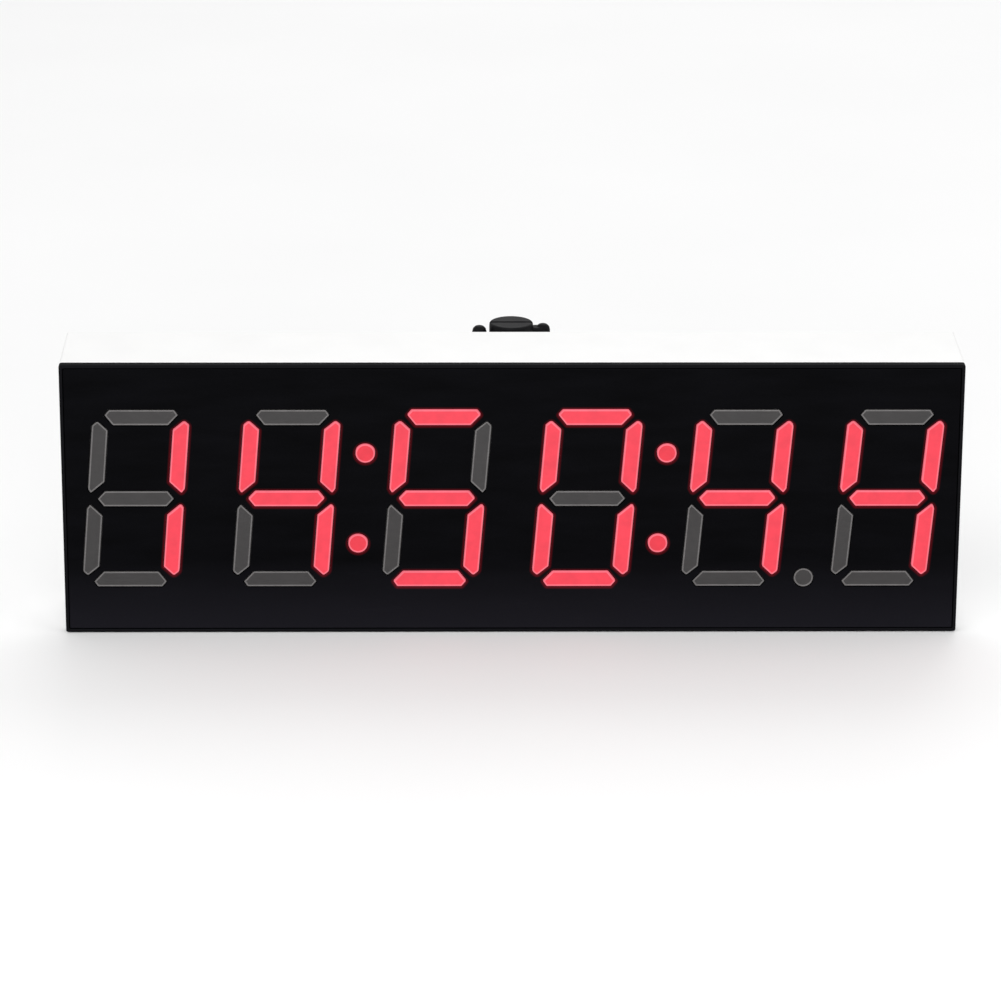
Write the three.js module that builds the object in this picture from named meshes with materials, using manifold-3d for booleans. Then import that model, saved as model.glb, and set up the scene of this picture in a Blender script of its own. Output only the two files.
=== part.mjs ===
// Gym round timer: a long LED clock with six slanted seven-segment digits in a white case,
// carried by a small pan and tilt wall bracket.
// Millimetres, +Z up, the face looks towards -Y. The origin is on the flat base, under the
// middle of the case.

import * as THREE from 'three';
import { mergeVertices } from 'three/addons/utils/BufferGeometryUtils.js';
import Module from 'manifold-3d';

const wasm = await Module();
wasm.setup();

// ---- Driving dimensions ----

const GAP = 0.3;

// Case
const WIDTH = 280;
const HEIGHT = 88;
const FRONT = -18;
const REAR = 17;
const WALL = 2;
const CORNER = 0.7;
const COVER_THICKNESS = 2.5;
const COVER_INSIDE = REAR - COVER_THICKNESS;

// Front bezel
const RIM = 1;
const BEZEL_DEPTH = 3;
const LEDGE = 1;
const SPIGOT_WALL = 1.3;
const SPIGOT_DEPTH = 6;
const POST_X = 93.6;
const POST_INSET = 6.4;
const POST_RADIUS = 3.2;
const POST_RIB_HALF = 1.5;

// Face and display
const PANEL_RECESS = 0.2;
const PANEL_THICKNESS = 1.5;
const DIGITS = 6;
const DIGIT_PITCH = 46.85;
const DIGIT_Z = 44.3;
const SLANT = 0.082;
const DIGIT_HALF_HEIGHT = 29.2;
const DIGIT_HALF_WIDTH = 15.15;
const SEGMENT_WIDTH = 5.2;
const WINDOW_CLEARANCE = 0.15;
const DOT_RADIUS = 3.15;
const COLON_HALF_SPACING = 14.85;
const POINT_Z = 18;
const SLAB_HALF_HEIGHT = 31.5;
const SLAB_THICKNESS = 1.2;
const DIGIT_SLAB_MARGIN = 1.5;
const DOT_SLAB_MARGIN = 1.4;
const DOT_SLAB_REACH = 5;
const LENS_RECESS = 0.1;
const REFLECTOR_DEPTH = 8;
const REFLECTOR_INSET = 5;
const BOARD_THICKNESS = 1.6;
const LED_BOARD_MARGIN = 4;
const LED_BOARD_INSET = 3;
const LED_SIZE = 3;
const LED_HEIGHT = 1.6;
const LED_OFFSET = 5.5;
const DRIVER = { x: 43, z: 45, width: 18, depth: 2, height: 10 };
const RECEIVER_Z = 8.5;
const RECEIVER_HALF = 3;
const RECEIVER_ROOM = 1;

// Fixings
const BOARD_SCREW = { headRadius: 2.4, headHeight: 1.6, shankRadius: 1, length: 6.5 };
const CASE_SCREW = { headRadius: 2.8, headHeight: 1.1, shankRadius: 1.15, length: 9 };
const BLOCK_SCREW = { headRadius: 3, headHeight: 1.9, shankRadius: 1.15, length: 12 };
const BOARD_PILOT_RADIUS = 1.3;
const BOARD_HOLE_RADIUS = 1.5;
const CASE_PILOT_RADIUS = 1.45;
const CASE_HOLE_RADIUS = 1.7;
const CASE_SINK_RADIUS = 3.1;
const CASE_SINK_DEPTH = 1.4;
const CASE_SCREW_XS = [-128, 0, 128];
const CASE_SCREW_INSET = 7.5;
const BOSS_RADIUS = 4;
const BOSS_FRONT = 2;
const BOSS_WEB_HALF = 2;

// Openings in the rear cover
const VENT_X = 80;
const VENT_LOW = 54;
const VENT_HIGH = 72;
const VENT_HALF_WIDTH = 2.2;
const VENT_PITCH = 9;
const VENTS = 3;
const SOUND_HOLE_RADIUS = 0.9;
const SOUND_RING_RADIUS = 3.6;
const SOUND_RING_HOLES = 6;

// Controls on the rear
const CONTROL_Z = 27;
const CONTROL_BOARD_FRONT = 5.5;
const CONTROL_BOARD_HALF_WIDTH = 112;
const CONTROL_BOARD_HALF_HEIGHT = 15;
const BOARD_POST_X = 106;
const BUTTON_XS = [-96, -80, -64, -48];
const BUTTON_RADIUS = 3;
const BUTTON_TRAVEL = 0.5;
const BUTTON_PROUD = 1.4;
const BUTTON_FLANGE = 1;
const STEM_RADIUS = 1.6;
const TACT_HALF = 3;
const TACT_HEIGHT = 3.5;
const TACT_FLOOR = 1;
const SWITCH_X = 60;
const SWITCH_TRAVEL = 4;
const SWITCH_DEPTH = 5;
const SLOT_HALF_HEIGHT = 1.7;
const SLIDER_HALF = [1.6, 1.3];
const SLIDER_PROUD = 1.2;
const JACK_X = 95;
const JACK_Z = 21;
const JACK_HALF = [4.5, 5.5];
const JACK_NOSE_RADIUS = 4.6;
const JACK_BORE_RADIUS = 3.15;
const JACK_PIN_RADIUS = 1.05;
const BUZZER = { x: -26, radius: 6, depth: 6.5 };
const HOLDER = { x: 28, half: 12, depth: 4.6, floor: 1 };
const CELL_RADIUS = 10;
const CELL_THICKNESS = 3.2;
const MCU = { x: 0, z: CONTROL_Z, width: 10, depth: 1.6, height: 10 };
const REGULATOR = { x: 77.5, z: 19.5, width: 7, depth: 2.4, height: 7 };
const CAPACITOR = { x: 78, z: 33, radius: 4, depth: 6.4 };
const RIBBON = { x: -14, halfWidth: 10, halfThickness: 0.5, low: 33, high: 60, end: 4, steps: 4 };

// Bracket
const BRACKET_X = 0.3;
const PAN_Y = 32;
const EYE_BOTTOM = 58.7;
const EYE_TOP = 68.7;
const EYE_RADIUS = 7;
const BLOCK_HALF_WIDTH = 17;
const BLOCK_HALF_HEIGHT = 11;
const BLOCK_THICKNESS = 3;
const BLOCK_SCREW_REACH = 12.5;
const BLOCK_HOLE_RADIUS = 1.8;
const NECK_HALF = 6;
const EAR_THICKNESS = 4;
const ARM_RADIUS = 8;
const WEB_FRONT = 40.2;
const WEB_BACK = 43.8;
const PAN_BOLT_RADIUS = 3;
const PAN_HEAD_RADIUS = 5.77;
const PAN_HEAD_HEIGHT = 4;
const WASHER_RADIUS = 6;
const WASHER_THICKNESS = 1.2;
const KNOB_TOP = 86.6;
const KNOB_RADIUS = 7;
const KNOB_EDGE = 0.8;
const WING_REACH = 10.2;
const WING_RADIUS = 2.3;
const WING_TOP = 85.8;
const WING_LIFT = 1;
const WING_BAR_INSET = 0.2;
const WING_BAR_HEIGHT = 5;
const WING_WEB_TOP = 84.9;
const WING_TURN = 6;
const KNOB_GROOVE_HALF = 0.6;
const KNOB_GROOVE_DEPTH = 0.7;
const KNOB_ROOF = 4;
const TILT_Y = 52;
const TILT_Z = 56;
const TILT_RADIUS = 7;
const TILT_BOLT_RADIUS = 2.5;
const TILT_HEAD_RADIUS = 4.6;
const TILT_HEAD_HEIGHT = 3;
const NUT_THICKNESS = 4;
const TONGUE_HALF = 5;
const TONGUE_GAP = 0.4;
const PLATE_EAR = 5;
const PLATE_HALF_WIDTH = 28;
const PLATE_BOTTOM = 30;
const PLATE_TOP = 70;
const PLATE_FRONT = 61;
const PLATE_BACK = 65;
const HOLE_REACH_X = 21;
const HOLE_REACH_Z = 13;
const WALL_HOLE_RADIUS = 2.3;
const WALL_SINK_RADIUS = 4.4;
const WALL_SINK_DEPTH = 1.4;

// Derived places
const PANEL_FRONT = FRONT + PANEL_RECESS;
const PANEL_BACK = PANEL_FRONT + PANEL_THICKNESS;
const LEDGE_FRONT = PANEL_BACK + GAP;
const BEZEL_BACK = FRONT + BEZEL_DEPTH;
const SHELL_FRONT = BEZEL_BACK + GAP;
const SLAB_FRONT = PANEL_BACK + GAP;
const SLAB_BACK = SLAB_FRONT + SLAB_THICKNESS;
const REFLECTOR_FRONT = SLAB_BACK + GAP;
const REFLECTOR_BACK = REFLECTOR_FRONT + REFLECTOR_DEPTH;
const LED_BOARD_FRONT = REFLECTOR_BACK + GAP;
const LED_BOARD_BACK = LED_BOARD_FRONT + BOARD_THICKNESS;
const CONTROL_BOARD_BACK = CONTROL_BOARD_FRONT + BOARD_THICKNESS;
const PART_SEAT = CONTROL_BOARD_BACK + GAP;
const MIDDLE_Z = HEIGHT / 2;
const BLOCK_Z = (EYE_BOTTOM + EYE_TOP) / 2;
const BLOCK_FRONT = REAR + GAP;
const BLOCK_BACK = BLOCK_FRONT + BLOCK_THICKNESS;
const EAR_TOP_LOW = EYE_TOP + GAP;
const EAR_TOP_HIGH = EAR_TOP_LOW + EAR_THICKNESS;
const EAR_BOTTOM_HIGH = EYE_BOTTOM - GAP;
const EAR_BOTTOM_LOW = EAR_BOTTOM_HIGH - EAR_THICKNESS;
const WASHER_LOW = EAR_TOP_HIGH + GAP;
const WASHER_HIGH = WASHER_LOW + WASHER_THICKNESS;
const KNOB_BOTTOM = WASHER_HIGH + GAP;
const PAN_BORE_RADIUS = PAN_BOLT_RADIUS + 0.4;
const TILT_BORE_RADIUS = TILT_BOLT_RADIUS + GAP;
const EAR_INNER = TONGUE_HALF + TONGUE_GAP;
const EAR_OUTER = EAR_INNER + PLATE_EAR;
const NUT_FROM = EAR_OUTER + GAP;
const NUT_TO = NUT_FROM + NUT_THICKNESS;

// ---- Solids ----

// A closed three.js geometry as a solid that can be joined and cut.
function solid(geometry) {
  geometry.deleteAttribute('normal');
  geometry.deleteAttribute('uv');
  const merged = mergeVertices(geometry);
  const index = merged.index.array;
  const triangles = [];
  for (let i = 0; i < index.length; i += 3) {
    const [a, b, c] = [index[i], index[i + 1], index[i + 2]];
    if (a !== b && b !== c && c !== a) triangles.push(a, b, c);
  }
  return new wasm.Manifold(new wasm.Mesh({
    numProp: 3,
    vertProperties: new Float32Array(merged.attributes.position.array),
    triVerts: new Uint32Array(triangles),
  }));
}

function box([x0, x1], [y0, y1], [z0, z1]) {
  const geometry = new THREE.BoxGeometry(x1 - x0, y1 - y0, z1 - z0);
  return solid(geometry.translate((x0 + x1) / 2, (y0 + y1) / 2, (z0 + z1) / 2));
}

// A round rod along Y, from y0 to y1, centred on x and z.
function rodY(radius, x, [y0, y1], z, sides = 12) {
  const geometry = new THREE.CylinderGeometry(radius, radius, y1 - y0, sides);
  return solid(geometry.translate(x, (y0 + y1) / 2, z));
}

// A round rod along Z. With sides = 6 it is a hexagon.
function rodZ(radius, x, y, [z0, z1], sides = 16) {
  const geometry = new THREE.CylinderGeometry(radius, radius, z1 - z0, sides);
  return solid(geometry.rotateX(Math.PI / 2).translate(x, y, (z0 + z1) / 2));
}

// A round rod along X.
function rodX(radius, [x0, x1], y, z, sides = 16) {
  const geometry = new THREE.CylinderGeometry(radius, radius, x1 - x0, sides);
  return solid(geometry.rotateZ(Math.PI / 2).translate((x0 + x1) / 2, y, z));
}

// A solid of revolution about Z from [radius, z] pairs that start and end on the axis.
function turned(profile, sides = 24) {
  const points = profile.map(([r, z]) => new THREE.Vector2(r, z));
  return solid(new THREE.LatheGeometry(points, sides).rotateX(Math.PI / 2));
}

// A flat outline in X and Z, given as a THREE.Shape, made thick from y0 to y1.
function plateY(shape, [y0, y1], curveSegments = 3) {
  const geometry = new THREE.ExtrudeGeometry(shape, {
    depth: y1 - y0,
    bevelEnabled: false,
    curveSegments,
  });
  return solid(geometry.rotateX(Math.PI / 2).translate(0, y1, 0));
}

// A flat outline in Y and Z, made thick from x0 to x1.
function plateX(points, [x0, x1]) {
  const shape = new THREE.Shape(points.map(([y, z]) => new THREE.Vector2(y, z)));
  const geometry = new THREE.ExtrudeGeometry(shape, { depth: x1 - x0, bevelEnabled: false });
  geometry.rotateX(Math.PI / 2);
  geometry.rotateZ(Math.PI / 2);
  return solid(geometry.translate(x0, 0, 0));
}

function joined(parts) {
  return parts.reduce((whole, part) => whole.add(part));
}

function without(whole, cuts) {
  return whole.subtract(joined(cuts));
}

// A rectangle of the case's outline, drawn in by inset all round, with rounded corners.
function caseOutline(inset, corner = CORNER) {
  const radius = Math.max(corner - inset, 0.4);
  const left = -WIDTH / 2 + inset;
  const right = -left;
  const low = inset;
  const high = HEIGHT - inset;
  const shape = new THREE.Shape();
  shape.moveTo(left + radius, low);
  shape.lineTo(right - radius, low);
  shape.absarc(right - radius, low + radius, radius, -Math.PI / 2, 0);
  shape.lineTo(right, high - radius);
  shape.absarc(right - radius, high - radius, radius, 0, Math.PI / 2);
  shape.lineTo(left + radius, high);
  shape.absarc(left + radius, high - radius, radius, Math.PI / 2, Math.PI);
  shape.lineTo(left, low + radius);
  shape.absarc(left + radius, low + radius, radius, Math.PI, Math.PI * 1.5);
  return shape;
}

// ---- Materials ----

function plastic(color, roughness) {
  return new THREE.MeshStandardMaterial({ color, roughness, metalness: 0, flatShading: true });
}

function metal(color, roughness) {
  return new THREE.MeshStandardMaterial({ color, roughness, metalness: 1, flatShading: true });
}

const looks = {
  faceBlack: plastic(0x0e0e12, 0.25),
  bezelBlack: plastic(0x17171a, 0.5),
  lensGrey: plastic(0x6b6766, 0.35),
  lensRed: plastic(0xff465a, 0.35),
  caseWhite: plastic(0xf2f2f0, 0.45),
  reflectorWhite: plastic(0xf7f7f4, 0.6),
  boardGreen: plastic(0x1c5a34, 0.5),
  chipBlack: plastic(0x1a1a1c, 0.6),
  bracketBlack: plastic(0x1d1d1f, 0.55),
  rubberGrey: plastic(0x3c3c40, 0.8),
  ribbonGrey: plastic(0xb4b4b0, 0.6),
  steel: metal(0xb8babd, 0.35),
  can: metal(0xc9ccd0, 0.3),
};

// ---- Scene graph ----

const timer = new THREE.Group();
const display = new THREE.Group();
const housing = new THREE.Group();
const electronics = new THREE.Group();
const bracket = new THREE.Group();
bracket.position.x = BRACKET_X;
timer.add(display, housing, electronics, bracket);

function add(group, name, body, material, [x, y, z] = [0, 0, 0]) {
  const { vertProperties, triVerts } = body.getMesh();
  const geometry = new THREE.BufferGeometry();
  geometry.setAttribute('position', new THREE.BufferAttribute(vertProperties, 3));
  geometry.setIndex(new THREE.BufferAttribute(triVerts, 1));
  geometry.computeVertexNormals();
  const mesh = new THREE.Mesh(geometry, material);
  mesh.name = name;
  mesh.position.set(x, y, z);
  group.add(mesh);
  return mesh;
}

// ---- Segment outlines ----

// The corners of a horizontal bar, upright and before slanting. The tips lie at tipZ.
function horizontalBar(tip, outer, inner, outerZ, tipZ, innerZ) {
  return [[-tip, tipZ], [-inner, innerZ], [inner, innerZ], [tip, tipZ], [outer, outerZ], [-outer, outerZ]];
}

const UPPER_LEFT_BAR = [
  [-DIGIT_HALF_WIDTH, 3.2], [-DIGIT_HALF_WIDTH + 1, 1.7], [-DIGIT_HALF_WIDTH + SEGMENT_WIDTH, 5.5],
  [-DIGIT_HALF_WIDTH + SEGMENT_WIDTH, 22.5], [-DIGIT_HALF_WIDTH + 1.7, 25.6], [-DIGIT_HALF_WIDTH, 24.1],
];
const TOP_BAR = horizontalBar(11.5, 10.15, 8.6, DIGIT_HALF_HEIGHT, 27.4, DIGIT_HALF_HEIGHT - SEGMENT_WIDTH);
const MIDDLE_BAR = horizontalBar(12, 9.8, 9.8, SEGMENT_WIDTH / 2, 0, -SEGMENT_WIDTH / 2);

function mirrored(points, flipX, flipZ) {
  return points.map(([x, z]) => [x * flipX, z * flipZ]);
}

// Segments a to g of one digit, about the digit's own centre.
const SEGMENTS = [
  TOP_BAR,
  mirrored(UPPER_LEFT_BAR, -1, 1),
  mirrored(UPPER_LEFT_BAR, -1, -1),
  mirrored(TOP_BAR, 1, -1),
  mirrored(UPPER_LEFT_BAR, 1, -1),
  UPPER_LEFT_BAR,
  MIDDLE_BAR,
];

function centreOf(points) {
  const xs = points.map(([x]) => x);
  const zs = points.map(([, z]) => z);
  return [(Math.min(...xs) + Math.max(...xs)) / 2, (Math.min(...zs) + Math.max(...zs)) / 2];
}

// Moves every edge of a convex outline outwards by distance, whichever way it is wound.
function grown(points, distance) {
  const area = points.reduce((sum, [x, z], i) => {
    const [nx, nz] = points[(i + 1) % points.length];
    return sum + x * nz - nx * z;
  }, 0);
  const side = Math.sign(area);
  const edges = points.map(([x, z], i) => {
    const [nx, nz] = points[(i + 1) % points.length];
    const length = Math.hypot(nx - x, nz - z);
    const normal = [side * (nz - z) / length, -side * (nx - x) / length];
    return { normal, offset: normal[0] * x + normal[1] * z + distance };
  });
  return edges.map((edge, i) => {
    const before = edges[(i + edges.length - 1) % edges.length];
    const cross = before.normal[0] * edge.normal[1] - before.normal[1] * edge.normal[0];
    return [
      (before.offset * edge.normal[1] - edge.offset * before.normal[1]) / cross,
      (before.normal[0] * edge.offset - edge.normal[0] * before.offset) / cross,
    ];
  });
}

function slanted(points) {
  return new THREE.Shape(points.map(([x, z]) => new THREE.Vector2(x + SLANT * z, z)));
}

function digitX(digit) {
  return (digit - (DIGITS - 1) / 2) * DIGIT_PITCH;
}

// A prism for each of the display's openings, wider than its outline by clearance.
function displayPrisms(clearance, depth) {
  const prisms = [];
  for (let digit = 0; digit < DIGITS; digit += 1) {
    for (const segment of SEGMENTS) {
      const prism = plateY(slanted(grown(segment, clearance)), depth);
      prisms.push(prism.translate([digitX(digit), 0, DIGIT_Z]));
    }
  }
  for (const [x, z] of dotPlaces()) {
    prisms.push(rodY(DOT_RADIUS + clearance, x, depth, z, 16));
  }
  return prisms;
}

const COLON_XS = { left: -DIGIT_PITCH, right: DIGIT_PITCH };
const POINT_X = 2 * DIGIT_PITCH + SLANT * (POINT_Z - DIGIT_Z);

function colonDots(x) {
  return [1, -1].map((way) => [
    x + way * SLANT * COLON_HALF_SPACING,
    DIGIT_Z + way * COLON_HALF_SPACING,
  ]);
}

function dotPlaces() {
  return [...colonDots(COLON_XS.left), ...colonDots(COLON_XS.right), [POINT_X, POINT_Z]];
}

function postPlaces() {
  const zs = [HEIGHT - POST_INSET, POST_INSET];
  return zs.flatMap((z) => [[-POST_X, z], [POST_X, z]]);
}

// ---- Display ----

function frontBezel() {
  const flange = plateY(caseOutline(0), [FRONT, BEZEL_BACK]);
  const spigotInset = WALL + GAP;
  const spigotBack = BEZEL_BACK + SPIGOT_DEPTH;
  const spigot = plateY(caseOutline(spigotInset), [BEZEL_BACK - LEDGE, spigotBack]);
  const panelSeat = plateY(caseOutline(RIM), [FRONT - 1, LEDGE_FRONT]);
  const inside = plateY(caseOutline(spigotInset + SPIGOT_WALL), [FRONT - 1, spigotBack + 1]);
  const wallReach = spigotInset + SPIGOT_WALL / 2;
  const posts = postPlaces().map(([x, z]) => {
    const web = z > MIDDLE_Z ? [z, HEIGHT - wallReach] : [wallReach, z];
    const rib = box([x - POST_RIB_HALF, x + POST_RIB_HALF], [BEZEL_BACK, spigotBack], web);
    return rodY(POST_RADIUS, x, [LEDGE_FRONT, REFLECTOR_BACK], z).add(rib);
  });
  const pilots = postPlaces().map(([x, z]) =>
    rodY(BOARD_PILOT_RADIUS, x, [LEDGE_FRONT + 2, REFLECTOR_BACK + 1], z, 10));
  return without(joined([without(flange.add(spigot), [panelSeat, inside]), ...posts]), pilots);
}

function facePanel() {
  const panel = plateY(caseOutline(RIM + GAP), [PANEL_FRONT, PANEL_BACK]);
  return without(panel, displayPrisms(WINDOW_CLEARANCE, [PANEL_FRONT - 1, PANEL_BACK + 1]));
}

// A slanted slab behind the mask, about the middle of a digit or of a dot pair.
function lensSlab(halfWidth, halfHeight) {
  const corners = [[-1, -1], [1, -1], [1, 1], [-1, 1]];
  const outline = corners.map(([across, up]) => [across * halfWidth, up * halfHeight]);
  return plateY(slanted(outline), [SLAB_FRONT, SLAB_BACK]);
}

const LENS_FRONT = PANEL_FRONT + LENS_RECESS;

function digitLens() {
  const segments = SEGMENTS.map((segment) =>
    plateY(slanted(grown(segment, -WINDOW_CLEARANCE)), [LENS_FRONT, SLAB_BACK]));
  return joined([lensSlab(DIGIT_HALF_WIDTH + DIGIT_SLAB_MARGIN, SLAB_HALF_HEIGHT), ...segments]);
}

function dotLens(places, halfHeight) {
  const dots = places.map(([x, z]) =>
    rodY(DOT_RADIUS - WINDOW_CLEARANCE, x, [LENS_FRONT, SLAB_BACK], z, 16));
  return joined([lensSlab(DOT_RADIUS + DOT_SLAB_MARGIN, halfHeight), ...dots]);
}

function reflector() {
  const halfWidth = WIDTH / 2 - REFLECTOR_INSET;
  const height = [REFLECTOR_INSET, HEIGHT - REFLECTOR_INSET];
  const block = box([-halfWidth, halfWidth], [REFLECTOR_FRONT, REFLECTOR_BACK], height);
  const through = [REFLECTOR_FRONT - 1, REFLECTOR_BACK + 1];
  const posts = postPlaces().map(([x, z]) => rodY(POST_RADIUS + GAP, x, through, z));
  const ribRoom = POST_RIB_HALF + 0.5;
  const ribs = postPlaces().map(([x, z]) => {
    const edge = z > MIDDLE_Z ? [z, HEIGHT] : [0, z];
    return box([x - ribRoom, x + ribRoom], through, edge);
  });
  const room = RECEIVER_HALF + RECEIVER_ROOM;
  const receiver = box([-room, room], through, [0, RECEIVER_Z + room]);
  return without(block, [...displayPrisms(WINDOW_CLEARANCE, through), ...posts, ...ribs, receiver]);
}

function ledPlaces() {
  const places = dotPlaces();
  for (let digit = 0; digit < DIGITS; digit += 1) {
    SEGMENTS.forEach((segment) => {
      const [x, z] = centreOf(segment);
      const upright = Math.abs(x) > 1;
      for (const way of [-LED_OFFSET, LED_OFFSET]) {
        const ledZ = upright ? z + way : z;
        const ledX = (upright ? x : x + way) + SLANT * ledZ;
        places.push([digitX(digit) + ledX, DIGIT_Z + ledZ]);
      }
    });
  }
  return places;
}

function ledBoard() {
  const halfWidth = WIDTH / 2 - LED_BOARD_MARGIN;
  const height = [LED_BOARD_INSET, HEIGHT - LED_BOARD_INSET];
  const board = box([-halfWidth, halfWidth], [LED_BOARD_FRONT, LED_BOARD_BACK], height);
  const half = LED_SIZE / 2;
  const leds = ledPlaces().map(([x, z]) =>
    box([x - half, x + half], [LED_BOARD_FRONT - LED_HEIGHT, LED_BOARD_FRONT + 0.5], [z - half, z + half]));
  const holes = postPlaces().map(([x, z]) =>
    rodY(BOARD_HOLE_RADIUS, x, [LED_BOARD_FRONT - 1, LED_BOARD_BACK + 1], z, 10));
  return without(joined([board, ...leds]), holes);
}

// A square-edged component that stands on a board's rear face at y = seat.
function component({ x, z, width, depth, height }, seat) {
  return box([x - width / 2, x + width / 2], [seat, seat + depth], [z - height / 2, z + height / 2]);
}

function infraredReceiver() {
  const [low, high] = [RECEIVER_Z - RECEIVER_HALF, RECEIVER_Z + RECEIVER_HALF];
  return box([-RECEIVER_HALF, RECEIVER_HALF], [REFLECTOR_FRONT + 1.5, REFLECTOR_BACK], [low, high]);
}

add(display, 'front_bezel', frontBezel(), looks.bezelBlack);
add(display, 'face_panel', facePanel(), looks.faceBlack);
const digitSolid = digitLens();
for (let digit = 0; digit < DIGITS; digit += 1) {
  add(display, `digit_lens_${digit + 1}`, digitSolid, looks.lensGrey, [digitX(digit), 0, DIGIT_Z]);
}
const colonPlaces = colonDots(0).map(([x, z]) => [x, z - DIGIT_Z]);
const colonSolid = dotLens(colonPlaces, COLON_HALF_SPACING + DOT_SLAB_REACH);
for (const side of ['left', 'right']) {
  add(display, `colon_lens_${side}`, colonSolid, looks.lensRed, [COLON_XS[side], 0, DIGIT_Z]);
}
add(display, 'point_lens', dotLens([[0, 0]], DOT_SLAB_REACH), looks.lensGrey, [POINT_X, 0, POINT_Z]);
add(display, 'reflector', reflector(), looks.reflectorWhite);
add(display, 'led_board', ledBoard(), looks.boardGreen);
add(display, 'led_driver', component(DRIVER, LED_BOARD_BACK + GAP), looks.chipBlack);
add(display, 'ir_receiver', infraredReceiver(), looks.chipBlack);

// ---- Screws ----

// A pan-head screw whose head's seat is at y = 0. The head stands towards way along Y and
// the shank goes the other way.
function panScrew(way, { headRadius, headHeight, shankRadius, length }) {
  const along = (from, to) => [Math.min(way * from, way * to), Math.max(way * from, way * to)];
  const head = rodY(headRadius, 0, along(0, headHeight), 0, 12);
  return head.add(rodY(shankRadius, 0, along(-length, 0.2), 0, 8));
}

const boardScrew = panScrew(1, BOARD_SCREW);
postPlaces().forEach(([x, z], i) => {
  add(display, `led_board_screw_${i + 1}`, boardScrew, looks.steel, [x, LED_BOARD_BACK + GAP, z]);
});

// ---- Housing ----

function caseScrewPlaces() {
  const zs = [HEIGHT - CASE_SCREW_INSET, CASE_SCREW_INSET];
  return zs.flatMap((z) => CASE_SCREW_XS.map((x) => [x, z]));
}

function housingShell() {
  const outer = plateY(caseOutline(0), [SHELL_FRONT, REAR]);
  const inner = plateY(caseOutline(WALL), [SHELL_FRONT - 1, REAR + 1]);
  const bossDepth = [BOSS_FRONT, COVER_INSIDE - GAP];
  const bosses = caseScrewPlaces().map(([x, z]) => {
    const height = z > MIDDLE_Z ? [z, HEIGHT - WALL / 2] : [WALL / 2, z];
    const web = box([x - BOSS_WEB_HALF, x + BOSS_WEB_HALF], bossDepth, height);
    return rodY(BOSS_RADIUS, x, bossDepth, z).add(web);
  });
  const pilots = caseScrewPlaces().map(([x, z]) =>
    rodY(CASE_PILOT_RADIUS, x, [BOSS_FRONT + 1, REAR], z, 8));
  return without(joined([without(outer, [inner]), ...bosses]), pilots);
}

function blockScrewXs() {
  return [BRACKET_X - BLOCK_SCREW_REACH, BRACKET_X + BLOCK_SCREW_REACH];
}

function boardPostXs() {
  return [-BOARD_POST_X, BOARD_POST_X];
}

function soundHoles() {
  const places = [[BUZZER.x, CONTROL_Z]];
  for (let hole = 0; hole < SOUND_RING_HOLES; hole += 1) {
    const angle = hole * 2 * Math.PI / SOUND_RING_HOLES;
    places.push([
      BUZZER.x + SOUND_RING_RADIUS * Math.cos(angle),
      CONTROL_Z + SOUND_RING_RADIUS * Math.sin(angle),
    ]);
  }
  return places;
}

// The middles of the upright vent slots, in X.
function ventXs() {
  const slots = Array.from({ length: VENTS }, (_, slot) => (slot - (VENTS - 1) / 2) * VENT_PITCH);
  return [-VENT_X, VENT_X].flatMap((middle) => slots.map((slot) => middle + slot));
}

function rearCover() {
  const plate = plateY(caseOutline(WALL + GAP), [COVER_INSIDE, REAR]);
  const through = [COVER_INSIDE - 1, REAR + 1];
  const boardPosts = boardPostXs().map((x) =>
    rodY(POST_RADIUS, x, [CONTROL_BOARD_BACK + GAP, COVER_INSIDE + 1], CONTROL_Z));
  const blockPostFront = COVER_INSIDE - 8.5;
  const blockPosts = blockScrewXs().map((x) =>
    rodY(BOSS_RADIUS, x, [blockPostFront, COVER_INSIDE + 1], BLOCK_Z));
  const [sliderHalf] = SLIDER_HALF;
  const slot = [SWITCH_X - sliderHalf - 1, SWITCH_X + sliderHalf + SWITCH_TRAVEL + 1];
  const cuts = [
    ...caseScrewPlaces().map(([x, z]) => rodY(CASE_HOLE_RADIUS, x, through, z, 8)),
    ...caseScrewPlaces().map(([x, z]) => rodY(CASE_SINK_RADIUS, x, [REAR - CASE_SINK_DEPTH, REAR + 1], z)),
    ...BUTTON_XS.map((x) => rodY(BUTTON_RADIUS + GAP, x, through, CONTROL_Z)),
    ...soundHoles().map(([x, z]) => rodY(SOUND_HOLE_RADIUS, x, through, z, 6)),
    ...blockScrewXs().map((x) => rodY(CASE_PILOT_RADIUS, x, [blockPostFront + 1, REAR + 1], BLOCK_Z, 10)),
    ...boardPostXs().map((x) =>
      rodY(BOARD_PILOT_RADIUS, x, [CONTROL_BOARD_BACK, COVER_INSIDE], CONTROL_Z, 10)),
    ...ventXs().map((x) => box([x - VENT_HALF_WIDTH, x + VENT_HALF_WIDTH], through, [VENT_LOW, VENT_HIGH])),
    rodY(JACK_NOSE_RADIUS + GAP, JACK_X, through, JACK_Z),
    box(slot, through, [CONTROL_Z - SLOT_HALF_HEIGHT, CONTROL_Z + SLOT_HALF_HEIGHT]),
  ];
  return without(joined([plate, ...boardPosts, ...blockPosts]), cuts);
}

add(housing, 'housing_shell', housingShell(), looks.caseWhite);
add(housing, 'rear_cover', rearCover(), looks.caseWhite);
const caseScrew = panScrew(1, CASE_SCREW);
caseScrewPlaces().forEach(([x, z], i) => {
  add(housing, `case_screw_${i + 1}`, caseScrew, looks.steel, [x, REAR - CASE_SINK_DEPTH + GAP, z]);
});

// ---- Electronics on the control board ----

const FLANGE_BACK = COVER_INSIDE - GAP;

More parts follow.
